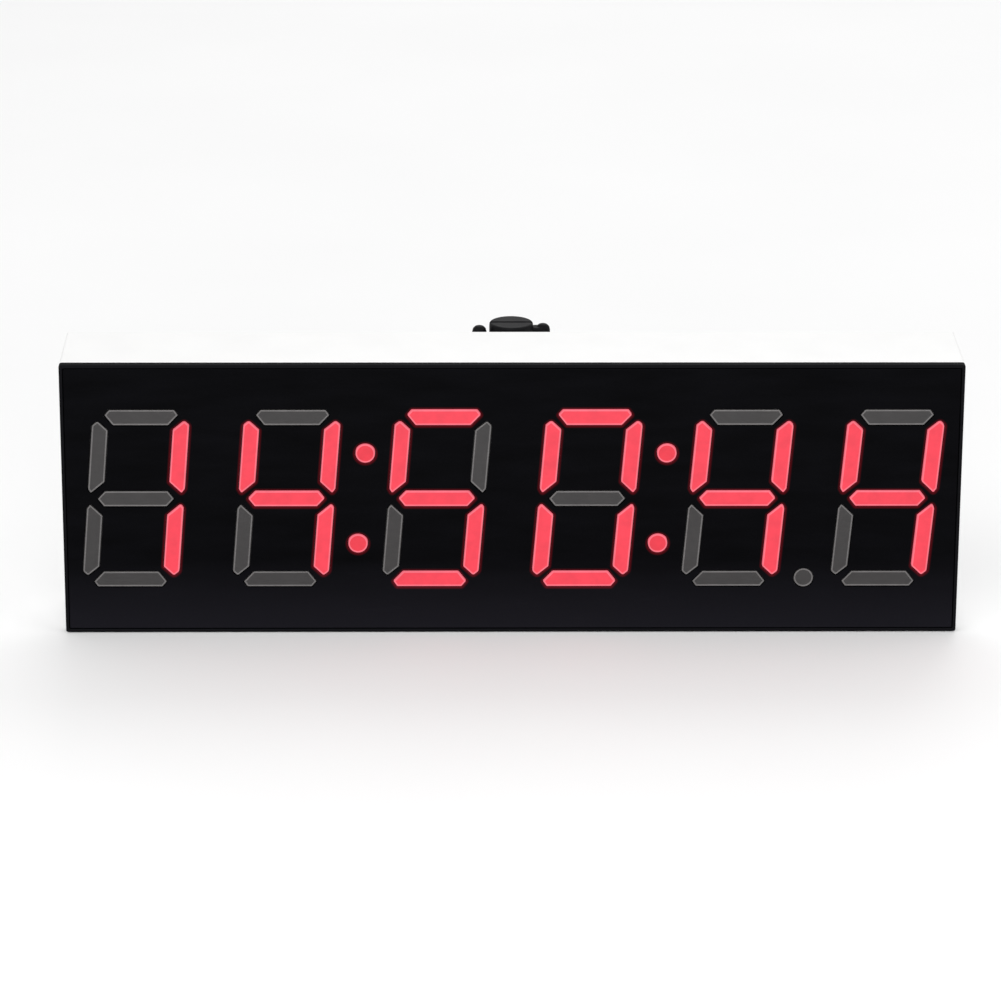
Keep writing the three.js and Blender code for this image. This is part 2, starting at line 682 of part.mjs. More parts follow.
function controlBoard() {
  const board = box([-CONTROL_BOARD_HALF_WIDTH, CONTROL_BOARD_HALF_WIDTH],
    [CONTROL_BOARD_FRONT, CONTROL_BOARD_BACK],
    [CONTROL_Z - CONTROL_BOARD_HALF_HEIGHT, CONTROL_Z + CONTROL_BOARD_HALF_HEIGHT]);
  return without(board, boardPostXs().map((x) =>
    rodY(BOARD_HOLE_RADIUS, x, [CONTROL_BOARD_FRONT - 1, CONTROL_BOARD_BACK + 1], CONTROL_Z, 10)));
}

// A tact switch with a well for the cap's stem, standing on y = 0.
function tactSwitch() {
  const body = box([-TACT_HALF, TACT_HALF], [0, TACT_HEIGHT], [-TACT_HALF, TACT_HALF]);
  return without(body, [rodY(STEM_RADIUS + GAP, 0, [TACT_FLOOR, TACT_HEIGHT + 1], 0)]);
}

// The cap's stem slides in the switch, and its flange stays behind the cover.
function buttonCap() {
  const flangeFront = FLANGE_BACK - BUTTON_TRAVEL - 0.9;
  return joined([
    rodY(STEM_RADIUS, 0, [PART_SEAT + TACT_FLOOR + BUTTON_TRAVEL + GAP, FLANGE_BACK - 1], 0),
    rodY(BUTTON_RADIUS + BUTTON_FLANGE, 0, [flangeFront, FLANGE_BACK], 0),
    rodY(BUTTON_RADIUS, 0, [FLANGE_BACK - 0.5, REAR + BUTTON_PROUD], 0),
  ]);
}

// The slide switch's can, open along the slider's track.
function powerSwitch() {
  const body = box([SWITCH_X - 4, SWITCH_X + SWITCH_TRAVEL + 4], [PART_SEAT, PART_SEAT + SWITCH_DEPTH],
    [CONTROL_Z - 3, CONTROL_Z + 3]);
  const track = box([SWITCH_X - 2.2, SWITCH_X + SWITCH_TRAVEL + 2.2],
    [PART_SEAT + SWITCH_DEPTH - 1.5, PART_SEAT + SWITCH_DEPTH + 1],
    [CONTROL_Z - SLOT_HALF_HEIGHT, CONTROL_Z + SLOT_HALF_HEIGHT]);
  return without(body, [track]);
}

function powerSlider() {
  const [halfX, halfZ] = SLIDER_HALF;
  return box([SWITCH_X - halfX, SWITCH_X + halfX],
    [PART_SEAT + SWITCH_DEPTH - 1.2, REAR + SLIDER_PROUD], [CONTROL_Z - halfZ, CONTROL_Z + halfZ]);
}

// The power inlet: a block on the board, a round nose in the cover and a centre pin.
function dcJack() {
  const [halfX, halfZ] = JACK_HALF;
  const body = box([JACK_X - halfX, JACK_X + halfX], [PART_SEAT, COVER_INSIDE - GAP],
    [JACK_Z - halfZ, JACK_Z + halfZ]);
  const nose = rodY(JACK_NOSE_RADIUS, JACK_X, [COVER_INSIDE - 1, REAR - 0.1], JACK_Z);
  const bore = rodY(JACK_BORE_RADIUS, JACK_X, [PART_SEAT + 1.6, REAR + 1], JACK_Z);
  const pin = rodY(JACK_PIN_RADIUS, JACK_X, [PART_SEAT + 1, REAR - 1.1], JACK_Z, 10);
  return without(body.add(nose), [bore]).add(pin);
}

function coinCellHolder() {
  const { x, half, depth, floor } = HOLDER;
  const tray = box([x - half, x + half], [PART_SEAT, PART_SEAT + depth],
    [CONTROL_Z - half, CONTROL_Z + half]);
  const well = rodY(CELL_RADIUS + GAP, x, [PART_SEAT + floor, PART_SEAT + depth + 1], CONTROL_Z, 28);
  return without(tray, [well]);
}

function coinCell() {
  const front = PART_SEAT + HOLDER.floor + GAP;
  return rodY(CELL_RADIUS, HOLDER.x, [front, front + CELL_THICKNESS], CONTROL_Z, 28);
}

// A round component that stands on the control board.
function can({ x, z = CONTROL_Z, radius, depth }, sides) {
  return rodY(radius, x, [PART_SEAT, PART_SEAT + depth], z, sides);
}

// A flat flexible strip that leaves the LED board, bends down and meets the control board.
function ribbonCable() {
  const { x, halfWidth, halfThickness, low, high, end, steps } = RIBBON;
  const from = LED_BOARD_BACK + GAP + halfThickness;
  const to = CONTROL_BOARD_FRONT - GAP - halfThickness;
  const middle = (from + to) / 2;
  const radius = middle - from;
  const line = [[from, high + end]];
  for (let step = 0; step <= steps; step += 1) {
    const turn = Math.PI / 2 * (step / steps);
    line.push([middle - radius * Math.cos(turn), high - radius * Math.sin(turn)]);
  }
  for (let step = 0; step <= steps; step += 1) {
    const turn = Math.PI / 2 * (step / steps);
    line.push([middle + radius * Math.sin(turn), low + radius * Math.cos(turn)]);
  }
  line.push([to, low - end]);
  const sides = line.map(([y, z], i) => {
    const [by, bz] = line[Math.max(i - 1, 0)];
    const [ny, nz] = line[Math.min(i + 1, line.length - 1)];
    const length = Math.hypot(ny - by, nz - bz);
    const offY = halfThickness * (nz - bz) / length;
    const offZ = -halfThickness * (ny - by) / length;
    return [[y + offY, z + offZ], [y - offY, z - offZ]];
  });
  const outline = [...sides.map(([a]) => a), ...sides.map(([, b]) => b).reverse()];
  return plateX(outline, [x - halfWidth, x + halfWidth]);
}

add(electronics, 'control_board', controlBoard(), looks.boardGreen);
const controlScrew = panScrew(-1, BOARD_SCREW);
for (const [side, way] of [['left', -1], ['right', 1]]) {
  add(electronics, `control_board_screw_${side}`, controlScrew, looks.steel,
    [way * BOARD_POST_X, CONTROL_BOARD_FRONT - GAP, CONTROL_Z]);
}
const tact = tactSwitch();
const cap = buttonCap();
BUTTON_XS.forEach((x, i) => {
  add(electronics, `tact_switch_${i + 1}`, tact, looks.chipBlack, [x, PART_SEAT, CONTROL_Z]);
  add(electronics, `button_cap_${i + 1}`, cap, looks.rubberGrey, [x, 0, CONTROL_Z]);
});
add(electronics, 'power_switch', powerSwitch(), looks.can);
add(electronics, 'power_slider', powerSlider(), looks.rubberGrey);
add(electronics, 'dc_jack', dcJack(), looks.chipBlack);
add(electronics, 'buzzer', can(BUZZER, 24), looks.chipBlack);
add(electronics, 'coin_cell_holder', coinCellHolder(), looks.chipBlack);
add(electronics, 'coin_cell', coinCell(), looks.can);
add(electronics, 'mcu_chip', component(MCU, PART_SEAT), looks.chipBlack);
add(electronics, 'voltage_regulator', component(REGULATOR, PART_SEAT), looks.chipBlack);
add(electronics, 'reservoir_capacitor', can(CAPACITOR, 20), looks.can);
add(electronics, 'ribbon_cable', ribbonCable(), looks.ribbonGrey);

// ---- Bracket, about the pan axis in X ----

function swivelBlock() {
  const plate = box([-BLOCK_HALF_WIDTH, BLOCK_HALF_WIDTH], [BLOCK_FRONT, BLOCK_BACK],
    [BLOCK_Z - BLOCK_HALF_HEIGHT, BLOCK_Z + BLOCK_HALF_HEIGHT]);
  const neck = box([-NECK_HALF, NECK_HALF], [BLOCK_BACK - 1, PAN_Y], [EYE_BOTTOM, EYE_TOP]);
  const eye = rodZ(EYE_RADIUS, 0, PAN_Y, [EYE_BOTTOM, EYE_TOP]);
  const bore = rodZ(PAN_BORE_RADIUS, 0, PAN_Y, [EYE_BOTTOM - 1, EYE_TOP + 1]);
  const holes = [-BLOCK_SCREW_REACH, BLOCK_SCREW_REACH].map((x) =>
    rodY(BLOCK_HOLE_RADIUS, x, [BLOCK_FRONT - 1, BLOCK_BACK + 1], BLOCK_Z, 12));
  return without(joined([plate, neck, eye]), [bore, ...holes]);
}

// A fork with an ear above and below the block's eye, and a tongue for the tilt bolt.
function swivelArm() {
  const ear = (low, high) => rodZ(ARM_RADIUS, 0, PAN_Y, [low, high], 28)
    .add(box([-ARM_RADIUS, ARM_RADIUS], [PAN_Y, WEB_BACK], [low, high]));
  const web = box([-ARM_RADIUS, ARM_RADIUS], [WEB_FRONT, WEB_BACK], [EAR_BOTTOM_LOW, EAR_TOP_HIGH]);
  const gusset = [
    [WEB_BACK - 1, EAR_BOTTOM_LOW], [TILT_Y - 3, TILT_Z - 6], [TILT_Y, TILT_Z],
    [TILT_Y - 1, TILT_Z + 6.5], [WEB_BACK - 1, EAR_TOP_HIGH - 1],
  ];
  const tongue = plateX(gusset, [-TONGUE_HALF, TONGUE_HALF])
    .add(rodX(TILT_RADIUS, [-TONGUE_HALF, TONGUE_HALF], TILT_Y, TILT_Z, 24));
  return without(
    joined([ear(EAR_BOTTOM_LOW, EAR_BOTTOM_HIGH), ear(EAR_TOP_LOW, EAR_TOP_HIGH), web, tongue]),
    [
      rodZ(PAN_BORE_RADIUS, 0, PAN_Y, [EAR_BOTTOM_LOW - 1, EAR_TOP_HIGH + 1]),
      rodX(TILT_BORE_RADIUS, [-TONGUE_HALF - 1, TONGUE_HALF + 1], TILT_Y, TILT_Z),
    ],
  );
}

function panBolt() {
  const seat = EAR_BOTTOM_LOW - GAP;
  const head = rodZ(PAN_HEAD_RADIUS, 0, PAN_Y, [seat - PAN_HEAD_HEIGHT, seat], 6);
  const shankTop = KNOB_TOP - KNOB_ROOF - 1.5;
  return head.add(rodZ(PAN_BOLT_RADIUS, 0, PAN_Y, [seat - 1, shankTop], 16));
}

function clampWasher() {
  const disc = rodZ(WASHER_RADIUS, 0, PAN_Y, [WASHER_LOW, WASHER_HIGH]);
  return without(disc, [rodZ(PAN_BORE_RADIUS, 0, PAN_Y, [WASHER_LOW - 1, WASHER_HIGH + 1])]);
}

// The knob about its own axis, with z measured up from the base. The wing on +X has a taller web.
function wingKnob() {
  const hub = turned([
    [0, KNOB_BOTTOM], [KNOB_RADIUS - KNOB_EDGE, KNOB_BOTTOM], [KNOB_RADIUS, KNOB_BOTTOM + KNOB_EDGE],
    [KNOB_RADIUS, KNOB_TOP - KNOB_EDGE], [KNOB_RADIUS - KNOB_EDGE, KNOB_TOP], [0, KNOB_TOP],
  ], 28);
  const tipBottom = KNOB_BOTTOM + WING_LIFT;
  const barBottom = tipBottom + WING_BAR_INSET;
  const barHalf = WING_RADIUS - WING_BAR_INSET;
  const barHeights = [barBottom, KNOB_BOTTOM + WING_BAR_HEIGHT];
  const bar = box([-WING_REACH, WING_REACH], [-barHalf, barHalf], barHeights);
  const web = box([0, WING_REACH], [-barHalf, barHalf], [barBottom, WING_WEB_TOP]);
  const crown = [0, 35, 65].map((degrees) => {
    const angle = THREE.MathUtils.degToRad(degrees);
    return [WING_RADIUS * Math.cos(angle), WING_TOP - WING_RADIUS * (1 - Math.sin(angle))];
  });
  const tipProfile = [[0, tipBottom], [WING_RADIUS, tipBottom], ...crown, [0, WING_TOP]];
  const tips = [-1, 1].map((side) => turned(tipProfile, 12).translate([side * WING_REACH, 0, 0]));
  const grooveReach = KNOB_RADIUS + 1;
  const grooveBox = box([-grooveReach, grooveReach], [-KNOB_GROOVE_HALF, KNOB_GROOVE_HALF],
    [KNOB_TOP - KNOB_GROOVE_DEPTH, KNOB_TOP + 1]);
  const groove = grooveBox.rotate([0, 0, -WING_TURN]);
  const socket = rodZ(PAN_BORE_RADIUS, 0, 0, [KNOB_BOTTOM - 1, KNOB_TOP - KNOB_ROOF]);
  return without(joined([hub, bar, web, ...tips]), [groove, socket]);
}

function wallPlate() {
  const middle = (PLATE_BOTTOM + PLATE_TOP) / 2;
  const plate = box([-PLATE_HALF_WIDTH, PLATE_HALF_WIDTH], [PLATE_FRONT, PLATE_BACK],
    [PLATE_BOTTOM, PLATE_TOP]);
  const ears = [-1, 1].map((side) => {
    const width = side > 0 ? [EAR_INNER, EAR_OUTER] : [-EAR_OUTER, -EAR_INNER];
    return rodX(TILT_RADIUS, width, TILT_Y, TILT_Z, 24)
      .add(box(width, [TILT_Y, PLATE_FRONT + 1], [TILT_Z - TILT_RADIUS, TILT_Z + TILT_RADIUS]));
  });
  const cuts = [rodX(TILT_BORE_RADIUS, [-EAR_OUTER - 1, EAR_OUTER + 1], TILT_Y, TILT_Z)];
  for (const x of [-HOLE_REACH_X, HOLE_REACH_X]) {
    for (const z of [middle - HOLE_REACH_Z, middle + HOLE_REACH_Z]) {
      cuts.push(rodY(WALL_HOLE_RADIUS, x, [PLATE_FRONT - 1, PLATE_BACK + 1], z));
      cuts.push(rodY(WALL_SINK_RADIUS, x, [PLATE_FRONT - 1, PLATE_FRONT + WALL_SINK_DEPTH], z));
    }
  }
  return without(joined([plate, ...ears]), cuts);
}

function tiltBolt() {
  const seat = -EAR_OUTER - GAP;
  const head = rodX(TILT_HEAD_RADIUS, [seat - TILT_HEAD_HEIGHT, seat], TILT_Y, TILT_Z, 6);
  return head.add(rodX(TILT_BOLT_RADIUS, [seat - 1, NUT_TO + 1.5], TILT_Y, TILT_Z, 16));
}

function tiltNut() {
  const body = rodX(TILT_HEAD_RADIUS, [NUT_FROM, NUT_TO], TILT_Y, TILT_Z, 6);
  return without(body, [rodX(TILT_BORE_RADIUS, [NUT_FROM - 1, NUT_TO + 1], TILT_Y, TILT_Z)]);
}

add(bracket, 'swivel_block', swivelBlock(), looks.bracketBlack);
const blockScrew = panScrew(1, BLOCK_SCREW);
for (const [side, way] of [['left', -1], ['right', 1]]) {
  add(bracket, `block_screw_${side}`, blockScrew, looks.steel,
    [way * BLOCK_SCREW_REACH, BLOCK_BACK + GAP, BLOCK_Z]);
}
add(bracket, 'swivel_arm', swivelArm(), looks.bracketBlack);
add(bracket, 'pan_bolt', panBolt(), looks.steel);
add(bracket, 'clamp_washer', clampWasher(), looks.steel);
const knob = add(bracket, 'wing_knob', wingKnob(), looks.bracketBlack, [0, PAN_Y, 0]);
knob.rotation.z = THREE.MathUtils.degToRad(WING_TURN);
add(bracket, 'wall_plate', wallPlate(), looks.bracketBlack);
add(bracket, 'tilt_bolt', tiltBolt(), looks.steel);
add(bracket, 'tilt_nut', tiltNut(), looks.steel);

export default timer;
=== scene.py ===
import math
from collections import namedtuple

import bmesh
import bpy
from mathutils import Matrix, Vector


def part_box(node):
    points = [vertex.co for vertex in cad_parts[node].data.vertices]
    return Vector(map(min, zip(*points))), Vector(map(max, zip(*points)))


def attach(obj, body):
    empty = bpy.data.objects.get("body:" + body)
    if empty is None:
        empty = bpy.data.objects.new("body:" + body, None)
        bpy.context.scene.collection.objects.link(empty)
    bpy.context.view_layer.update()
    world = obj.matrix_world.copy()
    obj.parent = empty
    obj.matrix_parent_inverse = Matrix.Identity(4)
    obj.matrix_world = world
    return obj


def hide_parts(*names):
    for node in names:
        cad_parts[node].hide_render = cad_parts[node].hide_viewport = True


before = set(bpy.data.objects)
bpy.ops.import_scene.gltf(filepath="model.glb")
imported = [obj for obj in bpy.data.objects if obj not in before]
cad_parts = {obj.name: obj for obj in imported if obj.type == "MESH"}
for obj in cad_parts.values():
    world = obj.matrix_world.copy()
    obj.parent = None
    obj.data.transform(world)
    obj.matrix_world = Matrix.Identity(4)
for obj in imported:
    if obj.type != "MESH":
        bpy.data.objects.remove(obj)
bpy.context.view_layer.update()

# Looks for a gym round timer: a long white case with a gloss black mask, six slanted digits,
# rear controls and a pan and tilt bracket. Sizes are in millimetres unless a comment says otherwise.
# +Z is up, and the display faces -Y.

MM = 0.001
GAP = 0.3
SHARP_ANGLE = math.radians(35)

# ---- Case and display ----

CORNER = 0.7
LEAST_CORNER = 0.4
RIM = 1.0
WALL = 2.0
FLANGE_DEPTH = 3
SPIGOT_DEPTH = 6
SPIGOT_WALL = 1.3
DIGITS = 6
SLANT = 0.082
DIGIT_HALF_HEIGHT = 29.2
DIGIT_HALF_WIDTH = 15.15
SEGMENT_WIDTH = 5.2
DOT_RADIUS = 3.15
COLON_HALF_SPACING = 14.85
WINDOW_CLEARANCE = 0.15
SLAB_THICKNESS = 1.2
SLAB_HALF_HEIGHT = 31.5
DIGIT_SLAB_MARGIN = 1.5
DOT_SLAB_MARGIN = 1.4
COLON_SLAB_MARGIN = 5
LED_BOARD_SCREWS = 4
POST_RADIUS = 3.2
POST_RIB_HALF_WIDTH = 1.5
BOARD_PILOT_RADIUS = 1.3

# The segments that glow on each digit, from left to right.
LIT = ["bc", "bcfg", "acdfg", "abcdef", "bcfg", "bcfg"]

# How bright the mask glows at each distance round a lit segment.
HALO = [(0.9, 0.0), (0.6, 0.42), (0.34, 0.8), (0.21, 1.0)]

# ---- Rear cover and controls ----

COVER_THICKNESS = 2.5
CASE_SCREWS = 6
BOSS_RADIUS = 4
BOSS_FRONT = 2.0
BOSS_RIB_HALF_WIDTH = 2
CASE_PILOT_RADIUS = 1.45
CASE_SINK_RADIUS = 3.1
CASE_SINK_DEPTH = 1.4
CASE_HOLE_STEP = 1.4
VENT_X, VENT_PITCH, VENT_HALF_WIDTH = 80.0, 9.0, 2.2
VENT_LOW, VENT_HIGH = 54.0, 72.0
VENT_CORNER = 0.9
SOUND_HOLES = 6
SOUND_HOLE_RADIUS = 0.9
SOUND_RING_RADIUS = 3.6
ZONE_DEPTH = 0.4
BUTTON_COUNT = 4
BUTTON_RADIUS = 3
BUTTON_FLANGE_RADIUS = 4
BUTTON_FLANGE_DEPTH = 1.4
BUTTON_CROWN = 0.7
DIMPLE_RADIUS = 1.95
STEM_RADIUS = 1.6
SLIDE_TRAVEL = 4.0
RIDGE_HEIGHT, RIDGE_HALF_WIDTH = 0.45, 0.22
JACK_NOSE_RADIUS = 4.6
JACK_BORE_RADIUS = 3.15
JACK_PIN_RADIUS = 1.05
JACK_HALF_WIDTH, JACK_HALF_HEIGHT = 4.5, 5.5
JACK_FLOOR = 1.6

# ---- Bracket ----

EYE_RADIUS = 7.0
EYE_HALF_HEIGHT = 5
BLOCK_PLATE = 3
BLOCK_POST_RADIUS = 4
BLOCK_HOLE_RADIUS = 1.8
NECK_HALF_WIDTH = 6
RIB_ROOT, RIB_TIP = 5.5, 9.2
RIB_HEIGHT, RIB_HALF_WIDTH = 2.6, 1.2
ARM_RADIUS = 8.0
ARM_EAR = 4
WEB_START, WEB_END = 8.2, 11.8
TONGUE_HALF_WIDTH = 5
PAN_BORE = 3.4
PAN_BOLT_RADIUS = 3
PAN_HEAD_RADIUS, PAN_HEAD_HEIGHT = 5.77, 4
WASHER_RADIUS = 6
TILT_RADIUS = 7.0
TILT_BORE = 2.8
TILT_BOLT_RADIUS = 2.5
TILT_HEAD_RADIUS, TILT_HEAD_HEIGHT = 4.6, 3
WALL_PLATE = 4
WALL_CORNER = 4
WALL_EAR_START, WALL_EAR_END = 5.4, 10.4
WALL_HOLE_X, WALL_HOLE_Z = 21, 13
WALL_SINK_RADIUS, WALL_SINK_DEPTH = 4.4, 1.4
WALL_HOLE_STEP = 2.1
KNOB_RADIUS = 7.0
KNOB_SOCKET_ROOF = 4
WING_REACH = 10.2
WING_RADIUS = 2.3
WING_TURN = math.radians(6)
WING_LIFT = 1
WING_BAR_INSET = 0.2
WING_BAR_TOP = 5
TIP_DROP = 0.8
WEB_DROP = 1.7
GROOVE_HALF_WIDTH = 0.6
GROOVE_DEPTH = 0.7
KNOB_VOXEL = 0.16


class Place:
    """A CAD node's box in millimetres."""

    def __init__(self, node):
        low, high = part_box(node)
        self.x0, self.y0, self.z0 = (value / MM for value in low)
        self.x1, self.y1, self.z1 = (value / MM for value in high)
        self.x, self.y, self.z = ((a + b) / 2 / MM for a, b in zip(low, high))


def span(middle, half):
    """The two ends of a stretch that reaches half either side of middle."""
    return (middle - half, middle + half)


# ---- Camera ----

# The turns are in degrees and the distance is in metres.
AZIMUTH, ELEVATION, ROLL = -0.819, 19.337, 0.227
TARGET = Vector((-3.333, 0, 37.477)) * MM
DISTANCE = 1.4474
LENS = 164.85


def make_camera():
    turn, lift, roll = (math.radians(value) for value in (AZIMUTH, ELEVATION, ROLL))
    back = Vector((math.sin(turn) * math.cos(lift), -math.cos(turn) * math.cos(lift), math.sin(lift)))
    right = Vector((math.cos(turn), math.sin(turn), 0))
    up = back.cross(right)
    level_right = right * math.cos(roll) + up * math.sin(roll)
    level_up = up * math.cos(roll) - right * math.sin(roll)
    camera = bpy.data.objects.new("camera", bpy.data.cameras.new("camera"))
    bpy.context.scene.collection.objects.link(camera)
    camera.data.lens = LENS
    camera.data.clip_start = 0.05
    camera.rotation_mode = "QUATERNION"
    camera.location = TARGET + back * DISTANCE
    axes = [[level_right[i], level_up[i], back[i]] for i in range(3)]
    camera.rotation_quaternion = Matrix(axes).to_quaternion()
    bpy.context.scene.camera = camera


make_camera()

# ---- Outlines ----
# An outline is a function from how far it is grown to a ring of points.


def grown(points, distance):
    """Moves every edge of a convex outline outwards by distance."""
    area = sum(a[0] * b[1] - b[0] * a[1] for a, b in zip(points, points[1:] + points[:1]))
    side = math.copysign(1, area)
    edges = []
    for (x, z), (nx, nz) in zip(points, points[1:] + points[:1]):
        length = math.hypot(nx - x, nz - z)
        across, up = side * (nz - z) / length, -side * (nx - x) / length
        edges.append((across, up, across * x + up * z + distance))
    moved = []
    for (ax, az, a_off), (bx, bz, b_off) in zip(edges[-1:] + edges[:-1], edges):
        scale = ax * bz - az * bx
        moved.append(((a_off * bz - b_off * az) / scale, (ax * b_off - bx * a_off) / scale))
    return moved


def rounded(points, radii, steps):
    """Rounds every corner with an arc that takes just under half of either edge at most."""
    ring = []
    for i, point in enumerate(points):
        corner = Vector(point)
        back = Vector(points[i - 1]) - corner
        ahead = Vector(points[(i + 1) % len(points)]) - corner
        half = back.angle(ahead) / 2
        reach = min(radii[i] / math.tan(half), 0.4999 * back.length, 0.4999 * ahead.length)
        radius = reach * math.tan(half)
        inwards = (back.normalized() + ahead.normalized()).normalized()
        centre = corner + inwards * (radius / math.sin(half))
        start = corner + back.normalized() * reach - centre
        end = corner + ahead.normalized() * reach - centre
        first = math.atan2(start.y, start.x)
        turn = (math.atan2(end.y, end.x) - first + math.pi) % (2 * math.pi) - math.pi
        for step in range(steps + 1):
            angle = first + turn * step / steps
            ring.append((centre.x + radius * math.cos(angle), centre.y + radius * math.sin(angle)))
    return ring


def polygon(points, radius, steps=4, least=0.05):
    """A convex outline. radius is one corner radius, or a list with one for each corner."""
    radii = radius if isinstance(radius, list) else [radius] * len(points)
    return lambda grow: rounded(grown(points, grow), [max(r + grow, least) for r in radii], steps)


def rectangle(x0, x1, z0, z1, radius, steps=6, least=0.05):
    return polygon([(x0, z0), (x1, z0), (x1, z1), (x0, z1)], radius, steps, least)


def circle(x, z, radius, steps=48):
    angles = [2 * math.pi * step / steps for step in range(steps)]
    return lambda grow: [
        (x + (radius + grow) * math.cos(angle), z + (radius + grow) * math.sin(angle))
        for angle in angles
    ]


def cross(x, z, reach, half_width):
    """The outline of a cross recess."""
    def at(grow):
        r, w = reach + grow, half_width + grow * 0.4
        quarter = [(r, -w), (r, w), (w, w)]
        ring = []
        for turn in range(4):
            for u, v in quarter:
                for _ in range(turn):
                    u, v = -v, u
                ring.append((x + u, z + v))
        return ring
    return at


def ease(radius, steps=3):
    """A quarter round, from (-radius, 0) to (0, radius)."""
    angles = [math.pi / 2 * step / steps for step in range(steps + 1)]
    return [(-radius + radius * math.sin(a), radius - radius * math.cos(a)) for a in angles]


def edge(start, end, start_round, end_round=None, base=0.0, way=1):
    """A plate's edge as (grow, depth) pairs from start to end. way is 1 outside and -1 in a hole."""
    end_round = start_round if end_round is None else end_round
    sign = 1 if end > start else -1
    first = [(base + way * g, start + sign * d) for g, d in ease(start_round)]
    last = [(base + way * g, end - sign * d) for g, d in reversed(ease(end_round))]
    return first + last


# ---- Solids ----

Feature = namedtuple("Feature", "outline profile wall cap glow holes", defaults=(0, 0, None, ()))
AXES = {
    "X": lambda u, v, depth: (depth, u, v),
    "Y": lambda u, v, depth: (u, depth, v),
    "Z": lambda u, v, depth: (u, v, depth),
}


def solid(name, outer, through=(), front=(), axis="Y"):
    """A plate from its outer edge, the holes through it, and the pits or bosses on its front face.

    Each is a Feature whose profile starts on the front face. A Feature's wall and cap are the
    materials of its sides and of its end, and its holes go from its end to the back face.
    """
    bm = bmesh.new()
    glow = bm.verts.layers.float.new("glow")
    place = AXES[axis]

    def rings_of(feature):
        rings = []
        for step, (grow, depth) in enumerate(feature.profile):
            ring = [bm.verts.new(place(u, v, depth)) for u, v in feature.outline(grow)]
            for vertex in ring:
                vertex[glow] = feature.glow[step] if feature.glow else 0.0
            rings.append(ring)
        for step, (one, other) in enumerate(zip(rings, rings[1:])):
            wall = feature.wall[step] if isinstance(feature.wall, list) else feature.wall
            for k in range(len(one)):
                bm.faces.new((one[k - 1], one[k], other[k], other[k - 1])).material_index = wall
        return rings

    def fill(rings, cap):
        if len(rings) == 1:
            bm.faces.new(rings[0]).material_index = cap
            return
        edges = []
        for ring in rings:
            for k, vertex in enumerate(ring):
                pair = (ring[k - 1], vertex)
                edges.append(bm.edges.get(pair) or bm.edges.new(pair))
        made = bmesh.ops.triangle_fill(bm, edges=edges, use_beauty=True)
        for item in made["geom"]:
            if isinstance(item, bmesh.types.BMFace):
                item.material_index = cap

    outer_rings = rings_of(outer)
    front_rings, back_rings = [outer_rings[0]], [outer_rings[-1]]
    for feature in through:
        rings = rings_of(feature)
        front_rings.append(rings[0])
        back_rings.append(rings[-1])
    for feature in front:
        rings = rings_of(feature)
        front_rings.append(rings[0])
        floor_rings = [rings[-1]]
        for hole in feature.holes:
            hole_rings = rings_of(hole)
            floor_rings.append(hole_rings[0])
            back_rings.append(hole_rings[-1])
        fill(floor_rings, feature.cap)
    fill(front_rings, outer.cap)
    fill(back_rings, outer.cap)
    bmesh.ops.recalc_face_normals(bm, faces=bm.faces)
    bmesh.ops.scale(bm, vec=(MM, MM, MM), verts=bm.verts)
    return as_object(name, bm)


def as_object(name, bm):
    mesh = bpy.data.meshes.new(name)
    bm.to_mesh(mesh)
    bm.free()
    made = bpy.data.objects.new(name, mesh)
    bpy.context.scene.collection.objects.link(made)
    return made


def rod(name, centre, radius, start, end, axis="Y", steps=48, round_start=0.0, round_end=0.0):
    profile = edge(start, end, max(round_start, 0.01), max(round_end, 0.01))
    return solid(name, Feature(circle(*centre, radius, steps), profile), axis=axis)


def block(name, x, y, z, radius, rounding):
    """A box with rounded edges. x, y and z are (low, high) pairs."""
    return solid(name, Feature(rectangle(*x, *z, radius), edge(*y, rounding)))


def baked(target):
    """Applies target's modifiers to its mesh."""
    graph = bpy.context.evaluated_depsgraph_get()
    mesh = bpy.data.meshes.new_from_object(target.evaluated_get(graph), depsgraph=graph)
    target.modifiers.clear()
    target.data = mesh
    return target


def combined(base, tools, operation="UNION"):
    for tool in tools:
        modifier = base.modifiers.new("combine", "BOOLEAN")
        modifier.operation = operation
        modifier.solver = "EXACT"
        modifier.object = tool
    baked(base)
    for tool in tools:
        bpy.data.objects.remove(tool)
    return base


def merged(name, parts):
    """Joins separate closed parts into one piece."""
    bm = bmesh.new()
    for part in parts:
        bm.from_mesh(part.data)
        bpy.data.objects.remove(part)
    return as_object(name, bm)


def piece(made, body, materials, node):
    """Smooths a piece, gives it its materials and puts it in place of a CAD node."""
    mesh = made.data
    for material in materials:
        mesh.materials.append(material)
    mesh.polygons.foreach_set("use_smooth", [True] * len(mesh.polygons))
    mesh.set_sharp_from_angle(angle=SHARP_ANGLE)
    weighted = made.modifiers.new("even_shading", "WEIGHTED_NORMAL")
    weighted.keep_sharp = True
    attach(made, body)
    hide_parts(node)


# ---- Materials ----


